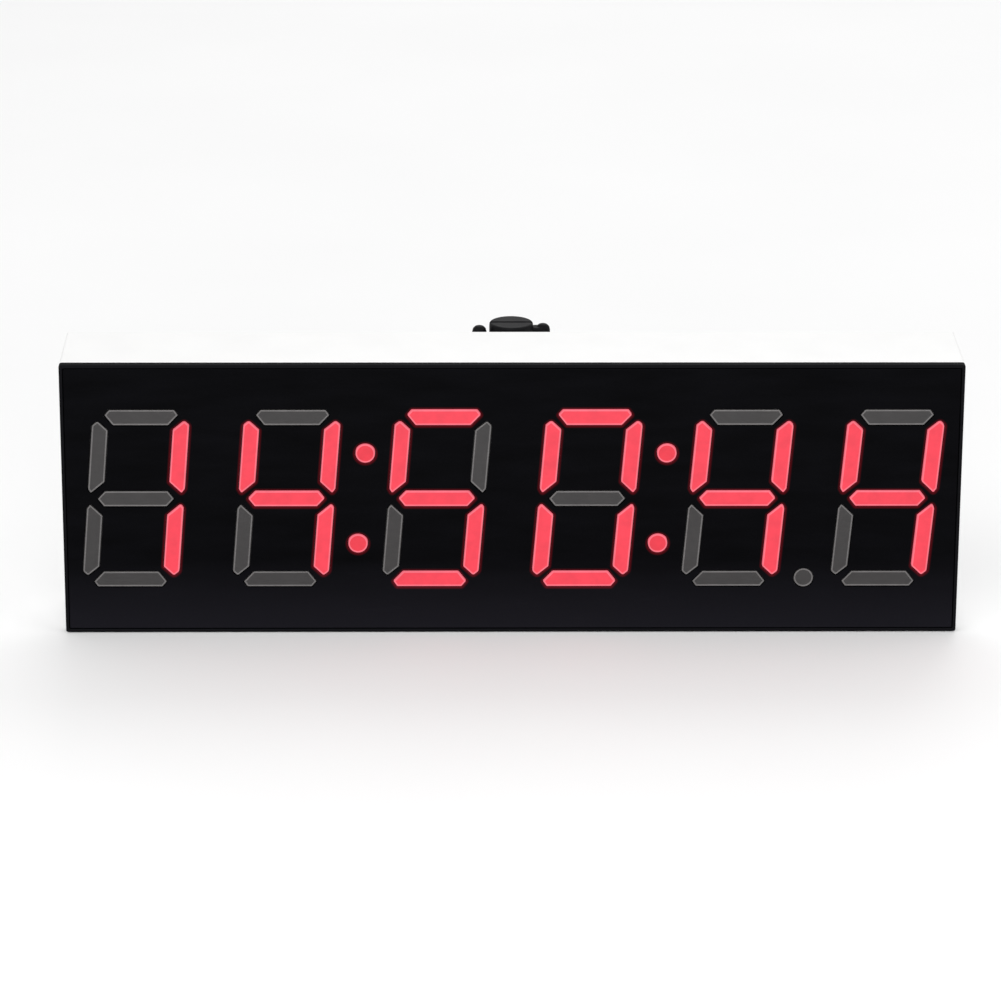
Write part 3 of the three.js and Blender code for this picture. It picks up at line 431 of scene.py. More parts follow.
class Surface:
    """A Principled material and short calls that add nodes to it."""

    def __init__(self, name, roughness, metallic=0.0, specular=0.5):
        self.material = bpy.data.materials.new(name)
        self.material.use_nodes = True
        self.tree = self.material.node_tree
        self.shader = self.tree.nodes["Principled BSDF"]
        self.shader.inputs["Roughness"].default_value = roughness
        self.shader.inputs["Metallic"].default_value = metallic
        self.shader.inputs["Specular IOR Level"].default_value = specular
        self.place = self.add("TexCoord").outputs["Object"]

    def add(self, kind, inputs=None, **settings):
        made = self.tree.nodes.new("ShaderNode" + kind)
        for key, value in settings.items():
            setattr(made, key, value)
        for key, value in (inputs or {}).items():
            if isinstance(value, bpy.types.NodeSocket):
                self.tree.links.new(value, made.inputs[key])
            else:
                made.inputs[key].default_value = value
        return made

    def stretched(self, scale):
        return self.add("Mapping", {"Vector": self.place, "Scale": scale}).outputs[0]

    def noise(self, size, detail=2.0, place=None, roughness=0.5):
        """Noise whose features are about size millimetres across."""
        inputs = {"Vector": place or self.place, "Scale": 1 / (size * MM), "Detail": detail}
        return self.add("TexNoise", inputs | {"Roughness": roughness}).outputs[0]

    def ranged(self, value, low, high, to_low, to_high):
        inputs = {
            "Value": value, "From Min": low, "From Max": high, "To Min": to_low, "To Max": to_high,
        }
        return self.add("MapRange", inputs).outputs[0]

    def maths(self, operation, a, b):
        return self.add("Math", {0: a, 1: b}, operation=operation).outputs[0]

    def mix(self, factor, a, b):
        first, second = (
            value if isinstance(value, bpy.types.NodeSocket) else (*value, 1.0) for value in (a, b)
        )
        made = self.add("Mix", {0: factor, 6: first, 7: second}, data_type="RGBA")
        return made.outputs[2]

    def set(self, socket, value):
        self.tree.links.new(value, self.shader.inputs[socket])

    def bump(self, height, strength, distance_mm):
        inputs = {"Height": height, "Strength": strength, "Distance": distance_mm * MM}
        self.set("Normal", self.add("Bump", inputs).outputs[0])

    def edges(self, radius_mm):
        """About 1 on edges and 0 elsewhere, from how far a bevel would turn the surface."""
        worn = self.add("Bevel", {"Radius": radius_mm * MM}, samples=4).outputs[0]
        true = self.add("NewGeometry").outputs["Normal"]
        both = self.add("VectorMath", {0: worn, 1: true}, operation="DOT_PRODUCT")
        return self.ranged(both.outputs["Value"], 0.98, 0.75, 0.0, 1.0)


def scaled(colour, by):
    return tuple(min(channel * by, 1.0) for channel in colour)


def moulded(
    name, colour, roughness=0.45, specular=0.5, grain=0.22, grain_bump=0.12, mottle=0.05, wear=None,
):
    """Moulded plastic: fine grain, a little flow mottling, and edges that handling has polished."""
    made = Surface(name, roughness, specular=specular)
    flow = made.noise(14, 4)
    fine = made.noise(grain, 3, roughness=0.6)
    darker, lighter = scaled(colour, 1 - mottle), scaled(colour, 1 + mottle)
    tone = made.mix(made.ranged(flow, 0.3, 0.7, 0, 1), darker, lighter)
    tone = made.mix(made.ranged(fine, 0.35, 0.65, 0, 0.35), tone, scaled(colour, 1 - 2 * mottle))
    if wear:
        patches = made.ranged(made.noise(2.5, 4), 0.35, 0.65, 0.15, 0.9)
        worn = made.maths("MULTIPLY", made.edges(0.5), patches)
        tone = made.mix(worn, tone, wear)
    made.set("Base Color", tone)
    broad = made.ranged(flow, 0.3, 0.7, roughness - 0.05, roughness + 0.05)
    made.set("Roughness", made.maths("ADD", broad, made.ranged(fine, 0.3, 0.7, -0.04, 0.04)))
    made.bump(fine, grain_bump, 0.06)
    return made.material


# Heights on the mask where the painted floor reflection begins and where it is full.
MASK_REFLECTION_TOP, MASK_REFLECTION_BOTTOM = 24, 1


def gloss_mask(name):
    """The polished black mask: faint wipe marks, a painted reflection of the floor that makes the lower
    part paler and bluer, and a red halo by lit segments.
    """
    made = Surface(name, 0.2, specular=0.03)
    wipes = made.noise(9, 5, made.stretched((0.35, 1, 1.6)))
    specks = made.noise(0.5, 2)
    wiped = made.ranged(wipes, 0.3, 0.7, 0, 1)
    tone = made.mix(wiped, (0.0007, 0.0007, 0.0011), (0.0016, 0.0016, 0.0024))
    # Painted reflection: the base colour turns paler and bluer towards the bottom, where the gloss would
    # reflect the bright floor.
    height = made.add("SeparateXYZ", {"Vector": made.place}).outputs["Z"]
    lower = made.ranged(height, MASK_REFLECTION_TOP * MM, MASK_REFLECTION_BOTTOM * MM, 0, 1)
    made.set("Base Color", made.mix(lower, tone, (0.0078, 0.0074, 0.0102)))
    smears = made.ranged(wipes, 0.35, 0.75, 0.16, 0.3)
    made.set("Roughness", made.maths("ADD", smears, made.ranged(specks, 0.62, 0.7, 0, 0.12)))
    made.bump(made.noise(22, 2), 0.05, 0.1)
    halo = made.add("Attribute", attribute_name="glow").outputs["Fac"]
    made.set("Emission Color", made.mix(halo, (0, 0, 0), (0.085, 0.0006, 0.003)))
    made.shader.inputs["Emission Strength"].default_value = 1.0
    return made.material


def diffuser(name, colour, roughness=0.38, streak=0.1, glow=None):
    """Frosted epoxy in a segment: fine lengthwise streaks, and light if glow is a colour."""
    made = Surface(name, roughness, specular=0.35)
    streaks = made.noise(0.5, 3, made.stretched((0.2, 1, 1)))
    clouds = made.noise(3.2, 3)
    both = made.maths("MULTIPLY", streaks, clouds)
    darker, lighter = scaled(colour, 1 - streak), scaled(colour, 1 + streak)
    made.set("Base Color", made.mix(made.ranged(both, 0.12, 0.4, 0, 1), darker, lighter))
    made.set("Roughness", made.ranged(streaks, 0.3, 0.7, roughness - 0.06, roughness + 0.08))
    made.bump(made.noise(0.3, 2), 0.1, 0.04)
    if glow:
        uneven = made.ranged(clouds, 0.3, 0.7, 0, 1)
        made.set("Emission Color", made.mix(uneven, scaled(glow, 0.93), scaled(glow, 1.05)))
        made.shader.inputs["Emission Strength"].default_value = 1.0
    return made.material


def plated(name, colour, roughness=0.3, grain=(1, 1, 1), tint=(0.62, 0.6, 0.52)):
    """Zinc-plated or nickel-plated steel with fine turning marks and a thin passivation tint."""
    made = Surface(name, roughness, metallic=1.0)
    marks = made.noise(0.35, 3, made.stretched(grain))
    clouds = made.noise(3, 4)
    tone = made.mix(made.ranged(clouds, 0.35, 0.7, 0, 0.5), colour, tint)
    made.set("Base Color", made.mix(made.ranged(marks, 0.55, 0.75, 0, 0.3), tone, scaled(colour, 0.6)))
    uneven = made.maths("ADD", marks, clouds)
    made.set("Roughness", made.ranged(uneven, 0.7, 1.3, roughness - 0.08, roughness + 0.14))
    made.bump(marks, 0.15, 0.02)
    return made.material


def rubber(name, colour):
    made = Surface(name, 0.6, specular=0.5)
    fine = made.noise(0.12, 2)
    dust = made.noise(1.8, 5)
    tone = made.mix(made.ranged(dust, 0.5, 0.75, 0, 0.6), colour, scaled(colour, 1.7))
    made.set("Base Color", tone)
    made.set("Roughness", made.ranged(dust, 0.3, 0.7, 0.5, 0.72))
    made.bump(fine, 0.25, 0.03)
    return made.material


def circuit(name):
    """Green solder mask over copper tracks."""
    made = Surface(name, 0.35, specular=0.5)
    cells = made.add("TexVoronoi", {"Vector": made.stretched((1, 0.01, 1)), "Scale": 420.0},
                     feature="DISTANCE_TO_EDGE", distance="EUCLIDEAN")
    tracks = made.ranged(cells.outputs["Distance"], 0.03, 0.05, 1, 0)
    tone = made.mix(tracks, (0.006, 0.06, 0.022), (0.016, 0.12, 0.04))
    tone = made.mix(made.ranged(made.noise(6, 3), 0.3, 0.7, 0, 0.3), tone, (0.004, 0.045, 0.018))
    made.set("Base Color", tone)
    made.set("Roughness", made.ranged(made.noise(2, 3), 0.3, 0.7, 0.28, 0.42))
    made.bump(tracks, 0.4, 0.03)
    return made.material


def ribbon(name):
    made = Surface(name, 0.5, specular=0.4)
    wires = made.add("TexWave", {"Vector": made.place, "Scale": 125.0, "Distortion": 0.0},
                     bands_direction="X").outputs["Fac"]
    tone = made.mix(made.ranged(wires, 0.1, 0.6, 0, 1), (0.2, 0.2, 0.2), (0.46, 0.46, 0.45))
    stains = made.ranged(made.noise(4, 3), 0.3, 0.7, 0, 0.2)
    made.set("Base Color", made.mix(stains, tone, (0.38, 0.38, 0.35)))
    made.set("Roughness", made.ranged(made.noise(1, 3), 0.3, 0.7, 0.42, 0.58))
    made.bump(wires, 0.6, 0.2)
    return made.material


CASE_WHITE = moulded("case_white", (0.86, 0.86, 0.855), 0.42, grain=0.35, grain_bump=0.5, mottle=0.015)
BEZEL_BLACK = moulded("bezel_black", (0.005, 0.005, 0.006), 0.55, 0.02, wear=(0.01, 0.01, 0.012))
NYLON_BLACK = moulded(
    "nylon_black", (0.004, 0.004, 0.005), 0.52, 0.1,
    grain=0.4, grain_bump=0.8, mottle=0.15, wear=(0.026, 0.026, 0.029),
)
PART_BLACK = moulded("part_black", (0.012, 0.012, 0.013), 0.55, 0.35, wear=(0.035, 0.035, 0.037))
REFLECTOR_WHITE = moulded("reflector_white", (0.8, 0.8, 0.78), 0.55, mottle=0.02)
MASK_BLACK = gloss_mask("mask_black")
LENS_GREY = diffuser("lens_grey", (0.028, 0.0262, 0.0264))
LENS_GREY_RIM = diffuser("lens_grey_rim", (0.115, 0.109, 0.109), 0.3)
LENS_RED = diffuser("lens_red", (0.07, 0.003, 0.006), glow=(0.86, 0.046, 0.078))
LENS_RED_DOT = diffuser("lens_red_dot", (0.07, 0.003, 0.006), glow=(0.76, 0.031, 0.055))
LENS_RED_RIM = diffuser("lens_red_rim", (0.1, 0.01, 0.015), glow=(0.84, 0.15, 0.2))
ZINC = plated("zinc", (0.56, 0.56, 0.57), 0.3)
NICKEL = plated("nickel", (0.62, 0.6, 0.56), 0.2, tint=(0.6, 0.57, 0.5))
RUBBER_GREY = rubber("rubber_grey", (0.042, 0.042, 0.047))
CIRCUIT_GREEN = circuit("circuit_green")
RIBBON_GREY = ribbon("ribbon_grey")

# ---- Display ----


def bar(tip, outer, inner, outer_z, tip_z, inner_z):
    """A horizontal segment, with its tips at tip_z."""
    return [
        (-tip, tip_z), (-inner, inner_z), (inner, inner_z),
        (tip, tip_z), (outer, outer_z), (-outer, outer_z),
    ]


def mirrored(points, flip_x, flip_z):
    return [(x * flip_x, z * flip_z) for x, z in points]


SIDE = DIGIT_HALF_WIDTH
UPPER_LEFT = [
    (-SIDE, 3.2), (-SIDE + 1, 1.7), (-SIDE + SEGMENT_WIDTH, 5.5),
    (-SIDE + SEGMENT_WIDTH, 22.5), (-SIDE + 1.7, 25.6), (-SIDE, 24.1),
]
TOP = bar(11.5, 10.15, 8.6, DIGIT_HALF_HEIGHT, 27.4, DIGIT_HALF_HEIGHT - SEGMENT_WIDTH)
MIDDLE = bar(12, 9.8, 9.8, SEGMENT_WIDTH / 2, 0, -SEGMENT_WIDTH / 2)
SEGMENTS = {
    "a": TOP,
    "b": mirrored(UPPER_LEFT, -1, 1),
    "c": mirrored(UPPER_LEFT, -1, -1),
    "d": mirrored(TOP, 1, -1),
    "e": mirrored(UPPER_LEFT, 1, -1),
    "f": UPPER_LEFT,
    "g": MIDDLE,
}
BAR_CORNERS = [0.35, 0.6, 0.6, 0.35, 0.6, 0.6]
SIDE_CORNERS = [1.0, 0.5, 0.6, 0.6, 0.8, 1.3]


def segment_outline(letter, x, z):
    corners = BAR_CORNERS if letter in "adg" else SIDE_CORNERS
    slanted = [(x + u + SLANT * v, z + v) for u, v in SEGMENTS[letter]]
    return polygon(slanted, corners)


def slab_outline(x, z, half_width, half_height):
    corners = [(-1, -1), (1, -1), (1, 1), (-1, 1)]
    points = [
        (x + u * half_width + SLANT * v * half_height, z + v * half_height) for u, v in corners
    ]
    return polygon(points, 0.5)


BEZEL = Place("front_bezel")
PANEL = Place("face_panel")
SHELL = Place("housing_shell")
COVER = Place("rear_cover")
DIGIT_PLACES = [Place(f"digit_lens_{i + 1}") for i in range(DIGITS)]
POINT = Place("point_lens")
COLONS = {side: Place(f"colon_lens_{side}") for side in ("left", "right")}
LED_SCREW_PLACES = [Place(f"led_board_screw_{i + 1}") for i in range(LED_BOARD_SCREWS)]
CASE_SCREW_PLACES = [Place(f"case_screw_{i + 1}") for i in range(CASE_SCREWS)]
CASE_OUTLINE = rectangle(BEZEL.x0, BEZEL.x1, BEZEL.z0, BEZEL.z1, CORNER, least=LEAST_CORNER)


def colon_outlines(place):
    shift = SLANT * COLON_HALF_SPACING
    return [
        circle(place.x + way * shift, place.z + way * COLON_HALF_SPACING, DOT_RADIUS) for way in (1, -1)
    ]


def windows():
    """(outline, lit) for every opening in the mask."""
    found = []
    for place, lit in zip(DIGIT_PLACES, LIT):
        found += [(segment_outline(letter, place.x, place.z), letter in lit) for letter in SEGMENTS]
    for place in COLONS.values():
        found += [(outline, True) for outline in colon_outlines(place)]
    found.append((circle(POINT.x, POINT.z, DOT_RADIUS), False))
    return found


def face_panel():
    front, back = PANEL.y0, PANEL.y1
    outer = Feature(CASE_OUTLINE, edge(front, back, 0.15, base=-RIM - GAP))
    profile = [(grow, front) for grow, _ in HALO]
    profile += [(WINDOW_CLEARANCE, front + 0.08), (WINDOW_CLEARANCE, back)]
    glow = [strength for _, strength in HALO] + [1.0, 0.0]
    holes = [Feature(outline, profile, glow=glow if lit else None) for outline, lit in windows()]
    piece(solid("face_panel_fine", outer, holes), "housing", [MASK_BLACK], "face_panel")


def lens_boss(outline, slab_front, front, lit):
    """A segment's epoxy: a pale rim round a face that sits very slightly lower."""
    rim, face = (3, 2) if lit else (1, 0)
    profile = [(-0.15, slab_front), (-0.15, front + 0.1), (-0.2, front + 0.03), (-0.3, front),
               (-0.52, front), (-0.62, front + 0.05), (-0.9, front + 0.05)]
    return Feature(outline, profile, wall=[rim] * 5 + [face], cap=face)


LENS_MATERIALS = [LENS_GREY, LENS_GREY_RIM, LENS_RED, LENS_RED_RIM]
DOT_MATERIALS = [LENS_GREY, LENS_GREY_RIM, LENS_RED_DOT, LENS_RED_RIM]


def lens(node, place, half_width, half_height, bosses, materials=LENS_MATERIALS):
    front, back = place.y0, place.y1
    slab_front = back - SLAB_THICKNESS
    slab = slab_outline(place.x, place.z, half_width, half_height)
    features = [lens_boss(outline, slab_front, front, lit) for outline, lit in bosses]
    made = solid(node + "_fine", Feature(slab, edge(slab_front, back, 0.15)), front=features)
    piece(made, "housing", materials, node)


def lenses():
    for i, (place, lit) in enumerate(zip(DIGIT_PLACES, LIT)):
        bosses = [(segment_outline(letter, place.x, place.z), letter in lit) for letter in SEGMENTS]
        half_width = DIGIT_HALF_WIDTH + DIGIT_SLAB_MARGIN
        lens(f"digit_lens_{i + 1}", place, half_width, SLAB_HALF_HEIGHT, bosses)
    half_width = DOT_RADIUS + DOT_SLAB_MARGIN
    for side, place in COLONS.items():
        bosses = [(outline, True) for outline in colon_outlines(place)]
        half_height = COLON_HALF_SPACING + COLON_SLAB_MARGIN
        lens(f"colon_lens_{side}", place, half_width, half_height, bosses, DOT_MATERIALS)
    point = [(circle(POINT.x, POINT.z, DOT_RADIUS), False)]
    lens("point_lens", POINT, half_width, COLON_SLAB_MARGIN, point)


def rib(screw, half_width, y, case, inset):
    """A rib from a screw's post to the case's nearer wall, which it enters inset below the face."""
    wall = case.z1 - inset if screw.z > case.z else case.z0 + inset
    return block("rib", span(screw.x, half_width), y, sorted((screw.z, wall)), 0.1, 0.1)


def front_bezel():
    front, shoulder, ledge = BEZEL.y0, BEZEL.y0 + FLANGE_DEPTH, PANEL.y1 + GAP
    spigot_back = shoulder + SPIGOT_DEPTH
    outside = edge(front, shoulder, 0.35, 0.12)
    outside += [(-WALL - GAP, shoulder)] + edge(shoulder, spigot_back, 0.01, 0.3, base=-WALL - GAP)[2:]
    inside_grow = -WALL - GAP - SPIGOT_WALL
    inside = [(-RIM + 0.15, front), (-RIM + 0.03, front + 0.06), (-RIM, front + 0.18), (-RIM, ledge)]
    inside += [(inside_grow, ledge), (inside_grow, spigot_back - 0.2), (inside_grow + 0.2, spigot_back)]
    made = solid("front_bezel_fine", Feature(CASE_OUTLINE, outside), [Feature(CASE_OUTLINE, inside)])
    posts, pilots = [], []
    rib_y, rib_inset = (shoulder, spigot_back), WALL + GAP + 0.5
    for screw in LED_SCREW_PLACES:
        centre = (screw.x, screw.z)
        posts.append(rod("post", centre, POST_RADIUS, ledge + 0.1, BEZEL.y1, round_end=0.3))
        posts.append(rib(screw, POST_RIB_HALF_WIDTH, rib_y, BEZEL, rib_inset))
        pilots.append(rod("pilot", centre, BOARD_PILOT_RADIUS, ledge + 2, BEZEL.y1 + 1, steps=24))
    made = combined(combined(made, posts), pilots, "DIFFERENCE")
    piece(made, "housing", [BEZEL_BLACK], "front_bezel")


# ---- Housing ----


def housing_shell():
    front, back = SHELL.y0, SHELL.y1
    outside = edge(front, back, 0.3, 0.35)
    inside = [(-WALL + 0.15, front), (-WALL, front + 0.15), (-WALL, back - 0.2), (-WALL + 0.2, back)]
    made = solid("housing_shell_fine", Feature(CASE_OUTLINE, outside), [Feature(CASE_OUTLINE, inside)])
    bosses, pilots = [], []
    boss_y = (BOSS_FRONT, COVER.y1 - COVER_THICKNESS - GAP)
    for screw in CASE_SCREW_PLACES:
        centre = (screw.x, screw.z)
        bosses.append(rod("boss", centre, BOSS_RADIUS, *boss_y, round_start=0.4, round_end=0.2))
        bosses.append(rib(screw, BOSS_RIB_HALF_WIDTH, boss_y, SHELL, WALL / 2))
        pilots.append(rod("pilot", centre, CASE_PILOT_RADIUS, BOSS_FRONT + 1, back, steps=24))
    made = combined(combined(made, bosses), pilots, "DIFFERENCE")
    piece(made, "housing", [CASE_WHITE], "housing_shell")


BUTTONS = [Place(f"button_cap_{i + 1}") for i in range(BUTTON_COUNT)]
SLIDER = Place("power_slider")
JACK = Place("dc_jack")
BUZZER = Place("buzzer")
BLOCK = Place("swivel_block")
ARM = Place("swivel_arm")
TILT_Y, TILT_Z = Place("tilt_nut").y, Place("tilt_nut").z
BLOCK_SCREWS = [Place(f"block_screw_{side}") for side in ("left", "right")]
BOARD_SCREWS = [Place(f"control_board_screw_{side}") for side in ("left", "right")]


def vent_outlines():
    found = []
    for side in (-1, 1):
        for step in (-1, 0, 1):
            x = side * VENT_X + step * VENT_PITCH
            found.append(rectangle(*span(x, VENT_HALF_WIDTH), VENT_LOW, VENT_HIGH, VENT_CORNER))
    return found


def sound_outlines():
    found = [circle(BUZZER.x, BUZZER.z, SOUND_HOLE_RADIUS, 20)]
    for step in range(SOUND_HOLES):
        angle = 2 * math.pi * step / SOUND_HOLES
        x = BUZZER.x + SOUND_RING_RADIUS * math.cos(angle)
        z = BUZZER.z + SOUND_RING_RADIUS * math.sin(angle)
        found.append(circle(x, z, SOUND_HOLE_RADIUS, 20))
    return found


def around(low_x, high_x, z, margin_x, margin_z, corner):
    return rectangle(low_x - margin_x, high_x + margin_x, z - margin_z, z + margin_z, corner)


def rear_cover():
    back, inside = COVER.y1, COVER.y1 - COVER_THICKNESS
    zone_floor = back - ZONE_DEPTH
    zone_edge = edge(back, zone_floor, 0.15, 0.2, way=-1)
    sink_floor = back - CASE_SINK_DEPTH
    sink = edge(back, sink_floor, 0.2, 0.02, way=-1)
    sink += [(-CASE_HOLE_STEP, sink_floor), (-CASE_HOLE_STEP, inside)]
    outer = Feature(CASE_OUTLINE, edge(back, inside, 0.25, 0.1, base=-WALL - GAP))

    def hole(outline, rounding, start=back):
        return Feature(outline, edge(start, inside, rounding, 0.05, way=-1))

    through = [hole(outline, 0.35) for outline in vent_outlines()]
    through.append(hole(circle(JACK.x, JACK.z, JACK_NOSE_RADIUS + GAP), 0.35))
    through += [hole(outline, 0.15) for outline in sound_outlines()]
    for screw in CASE_SCREW_PLACES:
        through.append(Feature(circle(screw.x, screw.z, CASE_SINK_RADIUS), sink))
    button_holes = [
        hole(circle(button.x, button.z, BUTTON_RADIUS + GAP), 0.3, zone_floor) for button in BUTTONS
    ]
    first, last = BUTTONS[0], BUTTONS[-1]
    button_zone = around(first.x, last.x, first.z, margin_x=7.5, margin_z=7, corner=2.5)
    slider_end = SLIDER.x1 + SLIDE_TRAVEL
    slot = around(SLIDER.x0, slider_end, SLIDER.z, margin_x=1, margin_z=1.7, corner=0.4)
    slider_slot = hole(slot, 0.15, zone_floor)
    slider_zone = around(SLIDER.x0, slider_end, SLIDER.z, margin_x=4, margin_z=4.5, corner=2)
    zones = [
        Feature(button_zone, zone_edge, holes=button_holes),
        Feature(slider_zone, zone_edge, holes=[slider_slot]),
    ]
    made = solid("rear_cover_fine", outer, through, zones)
    posts, bores = [], []
    for screw in BOARD_SCREWS:
        centre = (screw.x, screw.z)
        posts.append(rod("post", centre, POST_RADIUS, COVER.y0 + 1.4, inside + 1, round_start=0.2))
        bores.append(rod("bore", centre, BOARD_PILOT_RADIUS, COVER.y0, inside, steps=24))
    for screw in BLOCK_SCREWS:
        centre = (screw.x, screw.z)
        posts.append(rod("post", centre, BLOCK_POST_RADIUS, COVER.y0, inside + 1, round_start=0.3))
        bores.append(rod("bore", centre, CASE_PILOT_RADIUS, COVER.y0 + 1, back + 1, steps=24))
    made = combined(combined(made, posts), bores, "DIFFERENCE")
    piece(made, "housing", [CASE_WHITE], "rear_cover")


# ---- Screws ----


ScrewSize = namedtuple("ScrewSize", "head_radius head_height shank_radius length")
CASE_SCREW = ScrewSize(2.8, 1.1, 1.15, 9)
BOARD_SCREW = ScrewSize(2.4, 1.6, 1, 6.5)
BLOCK_SCREW = ScrewSize(3, 1.9, 1.15, 12)
RECESS_DEPTH = 0.9
RECESS_REACH = 0.5
RECESS_WIDTH = 0.28
HEAD_SIDE = 0.45
HEAD_DOME = 0.55


def pan_screw(node, size, way=1):
    """A pan-head screw with a cross recess. way is the head's side along Y."""
    place = Place(node)
    x, z = place.x, place.z
    seat = place.y1 - size.head_height if way > 0 else place.y0 + size.head_height
    top = seat + way * size.head_height
    dome = [(0.0, seat), (0.0, seat + way * size.head_height * HEAD_SIDE)]
    for step in range(1, 6):
        angle = math.pi / 2 * step / 5
        grow = -HEAD_DOME * size.head_radius * (1 - math.cos(angle))
        dome.append((grow, seat + way * size.head_height * (HEAD_SIDE + HEAD_DOME * math.sin(angle))))
    reach = size.head_radius * RECESS_REACH
    pit = [
        (0.0, top),
        (-0.08 * reach, top - way * RECESS_DEPTH * 0.3),
        (-0.45 * reach, top - way * RECESS_DEPTH),
    ]
    recess = Feature(cross(x, z, reach, reach * RECESS_WIDTH), pit)
    head = solid(node + "_fine", Feature(circle(x, z, size.head_radius), dome[::-1]), front=[recess])
    turns = edge(seat + way * 0.1, seat - way * size.length, 0.01, size.shank_radius * 0.5)
    shank = solid("shank", Feature(circle(x, z, size.shank_radius, 24), turns))
    piece(combined(head, [shank]), "housing", [ZINC], node)


def screws():
    for i in range(CASE_SCREWS):
        pan_screw(f"case_screw_{i + 1}", CASE_SCREW)
    for i in range(LED_BOARD_SCREWS):
        pan_screw(f"led_board_screw_{i + 1}", BOARD_SCREW)
    for side in ("left", "right"):
        pan_screw(f"control_board_screw_{side}", BOARD_SCREW, way=-1)
        pan_screw(f"block_screw_{side}", BLOCK_SCREW)


# ---- Controls ----


def button_caps():
    flange_back = COVER.y1 - COVER_THICKNESS - GAP
    inset = BUTTON_RADIUS - BUTTON_FLANGE_RADIUS
    for i, place in enumerate(BUTTONS):
        node = f"button_cap_{i + 1}"
        crown = place.y1 - BUTTON_CROWN
        profile = [(0.0, flange_back - BUTTON_FLANGE_DEPTH), (0.0, flange_back - 0.02)]
        profile += [(inset, flange_back), (inset, crown)]
        profile += [(inset + g, crown + d) for g, d in ((-0.08, 0.3), (-0.3, 0.55), (-0.7, BUTTON_CROWN))]
        dish = [(0.0, 0.0), (-0.12, 0.05), (-0.35, 0.2), (-0.8, 0.34), (-1.3, 0.4)]
        dish = [(grow, place.y1 - deep) for grow, deep in dish]
        dimple = Feature(circle(place.x, place.z, DIMPLE_RADIUS, 40), dish)
        rim = Feature(circle(place.x, place.z, BUTTON_FLANGE_RADIUS), profile[::-1])
        cap = solid(node + "_fine", rim, front=[dimple])
        centre = (place.x, place.z)
        stem = rod("stem", centre, STEM_RADIUS, place.y0, flange_back - 1, steps=24, round_start=0.2)
        piece(combined(cap, [stem]), f"button_{i + 1}", [RUBBER_GREY], node)


def power_slider():
    """The slide switch's cap, with three ridges across it."""
    place = SLIDER
    top, face = place.y1, place.y1 - RIDGE_HEIGHT
    ridges = []
    for step in (-1, 0, 1):
        x0, x1 = span(place.x + step, RIDGE_HALF_WIDTH)
        outline = rectangle(x0, x1, place.z0 + 0.3, place.z1 - 0.3, 0.2)
        ridges.append(Feature(outline, [(0.0, face), (0.0, top - 0.12), (-0.12, top)]))
    outline = rectangle(place.x0, place.x1, place.z0, place.z1, 0.3)
    outer = Feature(outline, [(0.0, face), (0.0, place.y0 + 0.1), (-0.1, place.y0)])
    made = solid("power_slider_fine", outer, front=ridges)
    piece(made, "power_slider", [RUBBER_GREY], "power_slider")


def dc_jack():
    """The power inlet: a body behind the cover, a nose through it, and a pin in the nose's bore."""
    place = JACK
    centre = (place.x, place.z)
    body_back = COVER.y1 - COVER_THICKNESS - GAP
    body_x, body_z = span(place.x, JACK_HALF_WIDTH), span(place.z, JACK_HALF_HEIGHT)
    body = block("dc_jack_fine", body_x, (place.y0, body_back), body_z, 0.4, 0.3)
    nose_edge = edge(body_back - 0.5, place.y1, 0.02, 0.3)
    nose = solid("nose", Feature(circle(*centre, JACK_NOSE_RADIUS), nose_edge))
    floor = place.y0 + JACK_FLOOR
    bore = solid("bore", Feature(circle(*centre, JACK_BORE_RADIUS), edge(floor, place.y1 + 1, 0.02)))
    made = combined(combined(body, [nose]), [bore], "DIFFERENCE")
    pin_edge = edge(floor - 0.3, place.y1 - 1, 0.02, 0.35)
    pin = solid("pin", Feature(circle(*centre, JACK_PIN_RADIUS, 32), pin_edge))
    pin.data.polygons.foreach_set("material_index", [1] * len(pin.data.polygons))
    made = merged("dc_jack_fine", [made, pin])
    piece(made, "housing", [PART_BLACK, NICKEL], "dc_jack")


# ---- Bracket ----


def swivel_block():
    """The fixed eye: a plate on the rear cover, a neck and the eye round the pan bolt."""
    place = BLOCK
    plate_back = place.y0 + BLOCK_PLATE
    pan_y = place.y1 - EYE_RADIUS
    eye_low, eye_high = span(place.z, EYE_HALF_HEIGHT)
    hole_edge = edge(plate_back, place.y0, 0.3, 0.05, way=-1)
    holes = [Feature(circle(screw.x, screw.z, BLOCK_HOLE_RADIUS), hole_edge) for screw in BLOCK_SCREWS]
    outline = rectangle(place.x0, place.x1, place.z0, place.z1, 3)
    made = solid("swivel_block_fine", Feature(outline, edge(plate_back, place.y0, 0.7, 0.1)), holes)
    neck_x = span(place.x, NECK_HALF_WIDTH)
    neck = block("neck", neck_x, (plate_back - 1, pan_y), (eye_low, eye_high), 0.6, 0.02)
    eye = rod("eye", (place.x, pan_y), EYE_RADIUS, eye_low, eye_high, "Z", 64, 0.5, 0.5)
    ribs = []
    for side in (-1, 1):
        root_x, tip_x = place.x + side * RIB_ROOT, place.x + side * RIB_TIP
        foot, top = plate_back - 0.5, plate_back + RIB_HEIGHT
        points = [(root_x, foot), (tip_x, foot), (root_x, top)]
        rib_edge = edge(*span(place.z, RIB_HALF_WIDTH), 0.2)
        ribs.append(solid("rib", Feature(polygon(points, 0.15), rib_edge), axis="Z"))
    bore = rod("bore", (place.x, pan_y), PAN_BORE, eye_low - 1, eye_high + 1, "Z", 48)
    made = combined(combined(made, [neck, eye, *ribs]), [bore], "DIFFERENCE")
    piece(made, "housing", [NYLON_BLACK], "swivel_block")


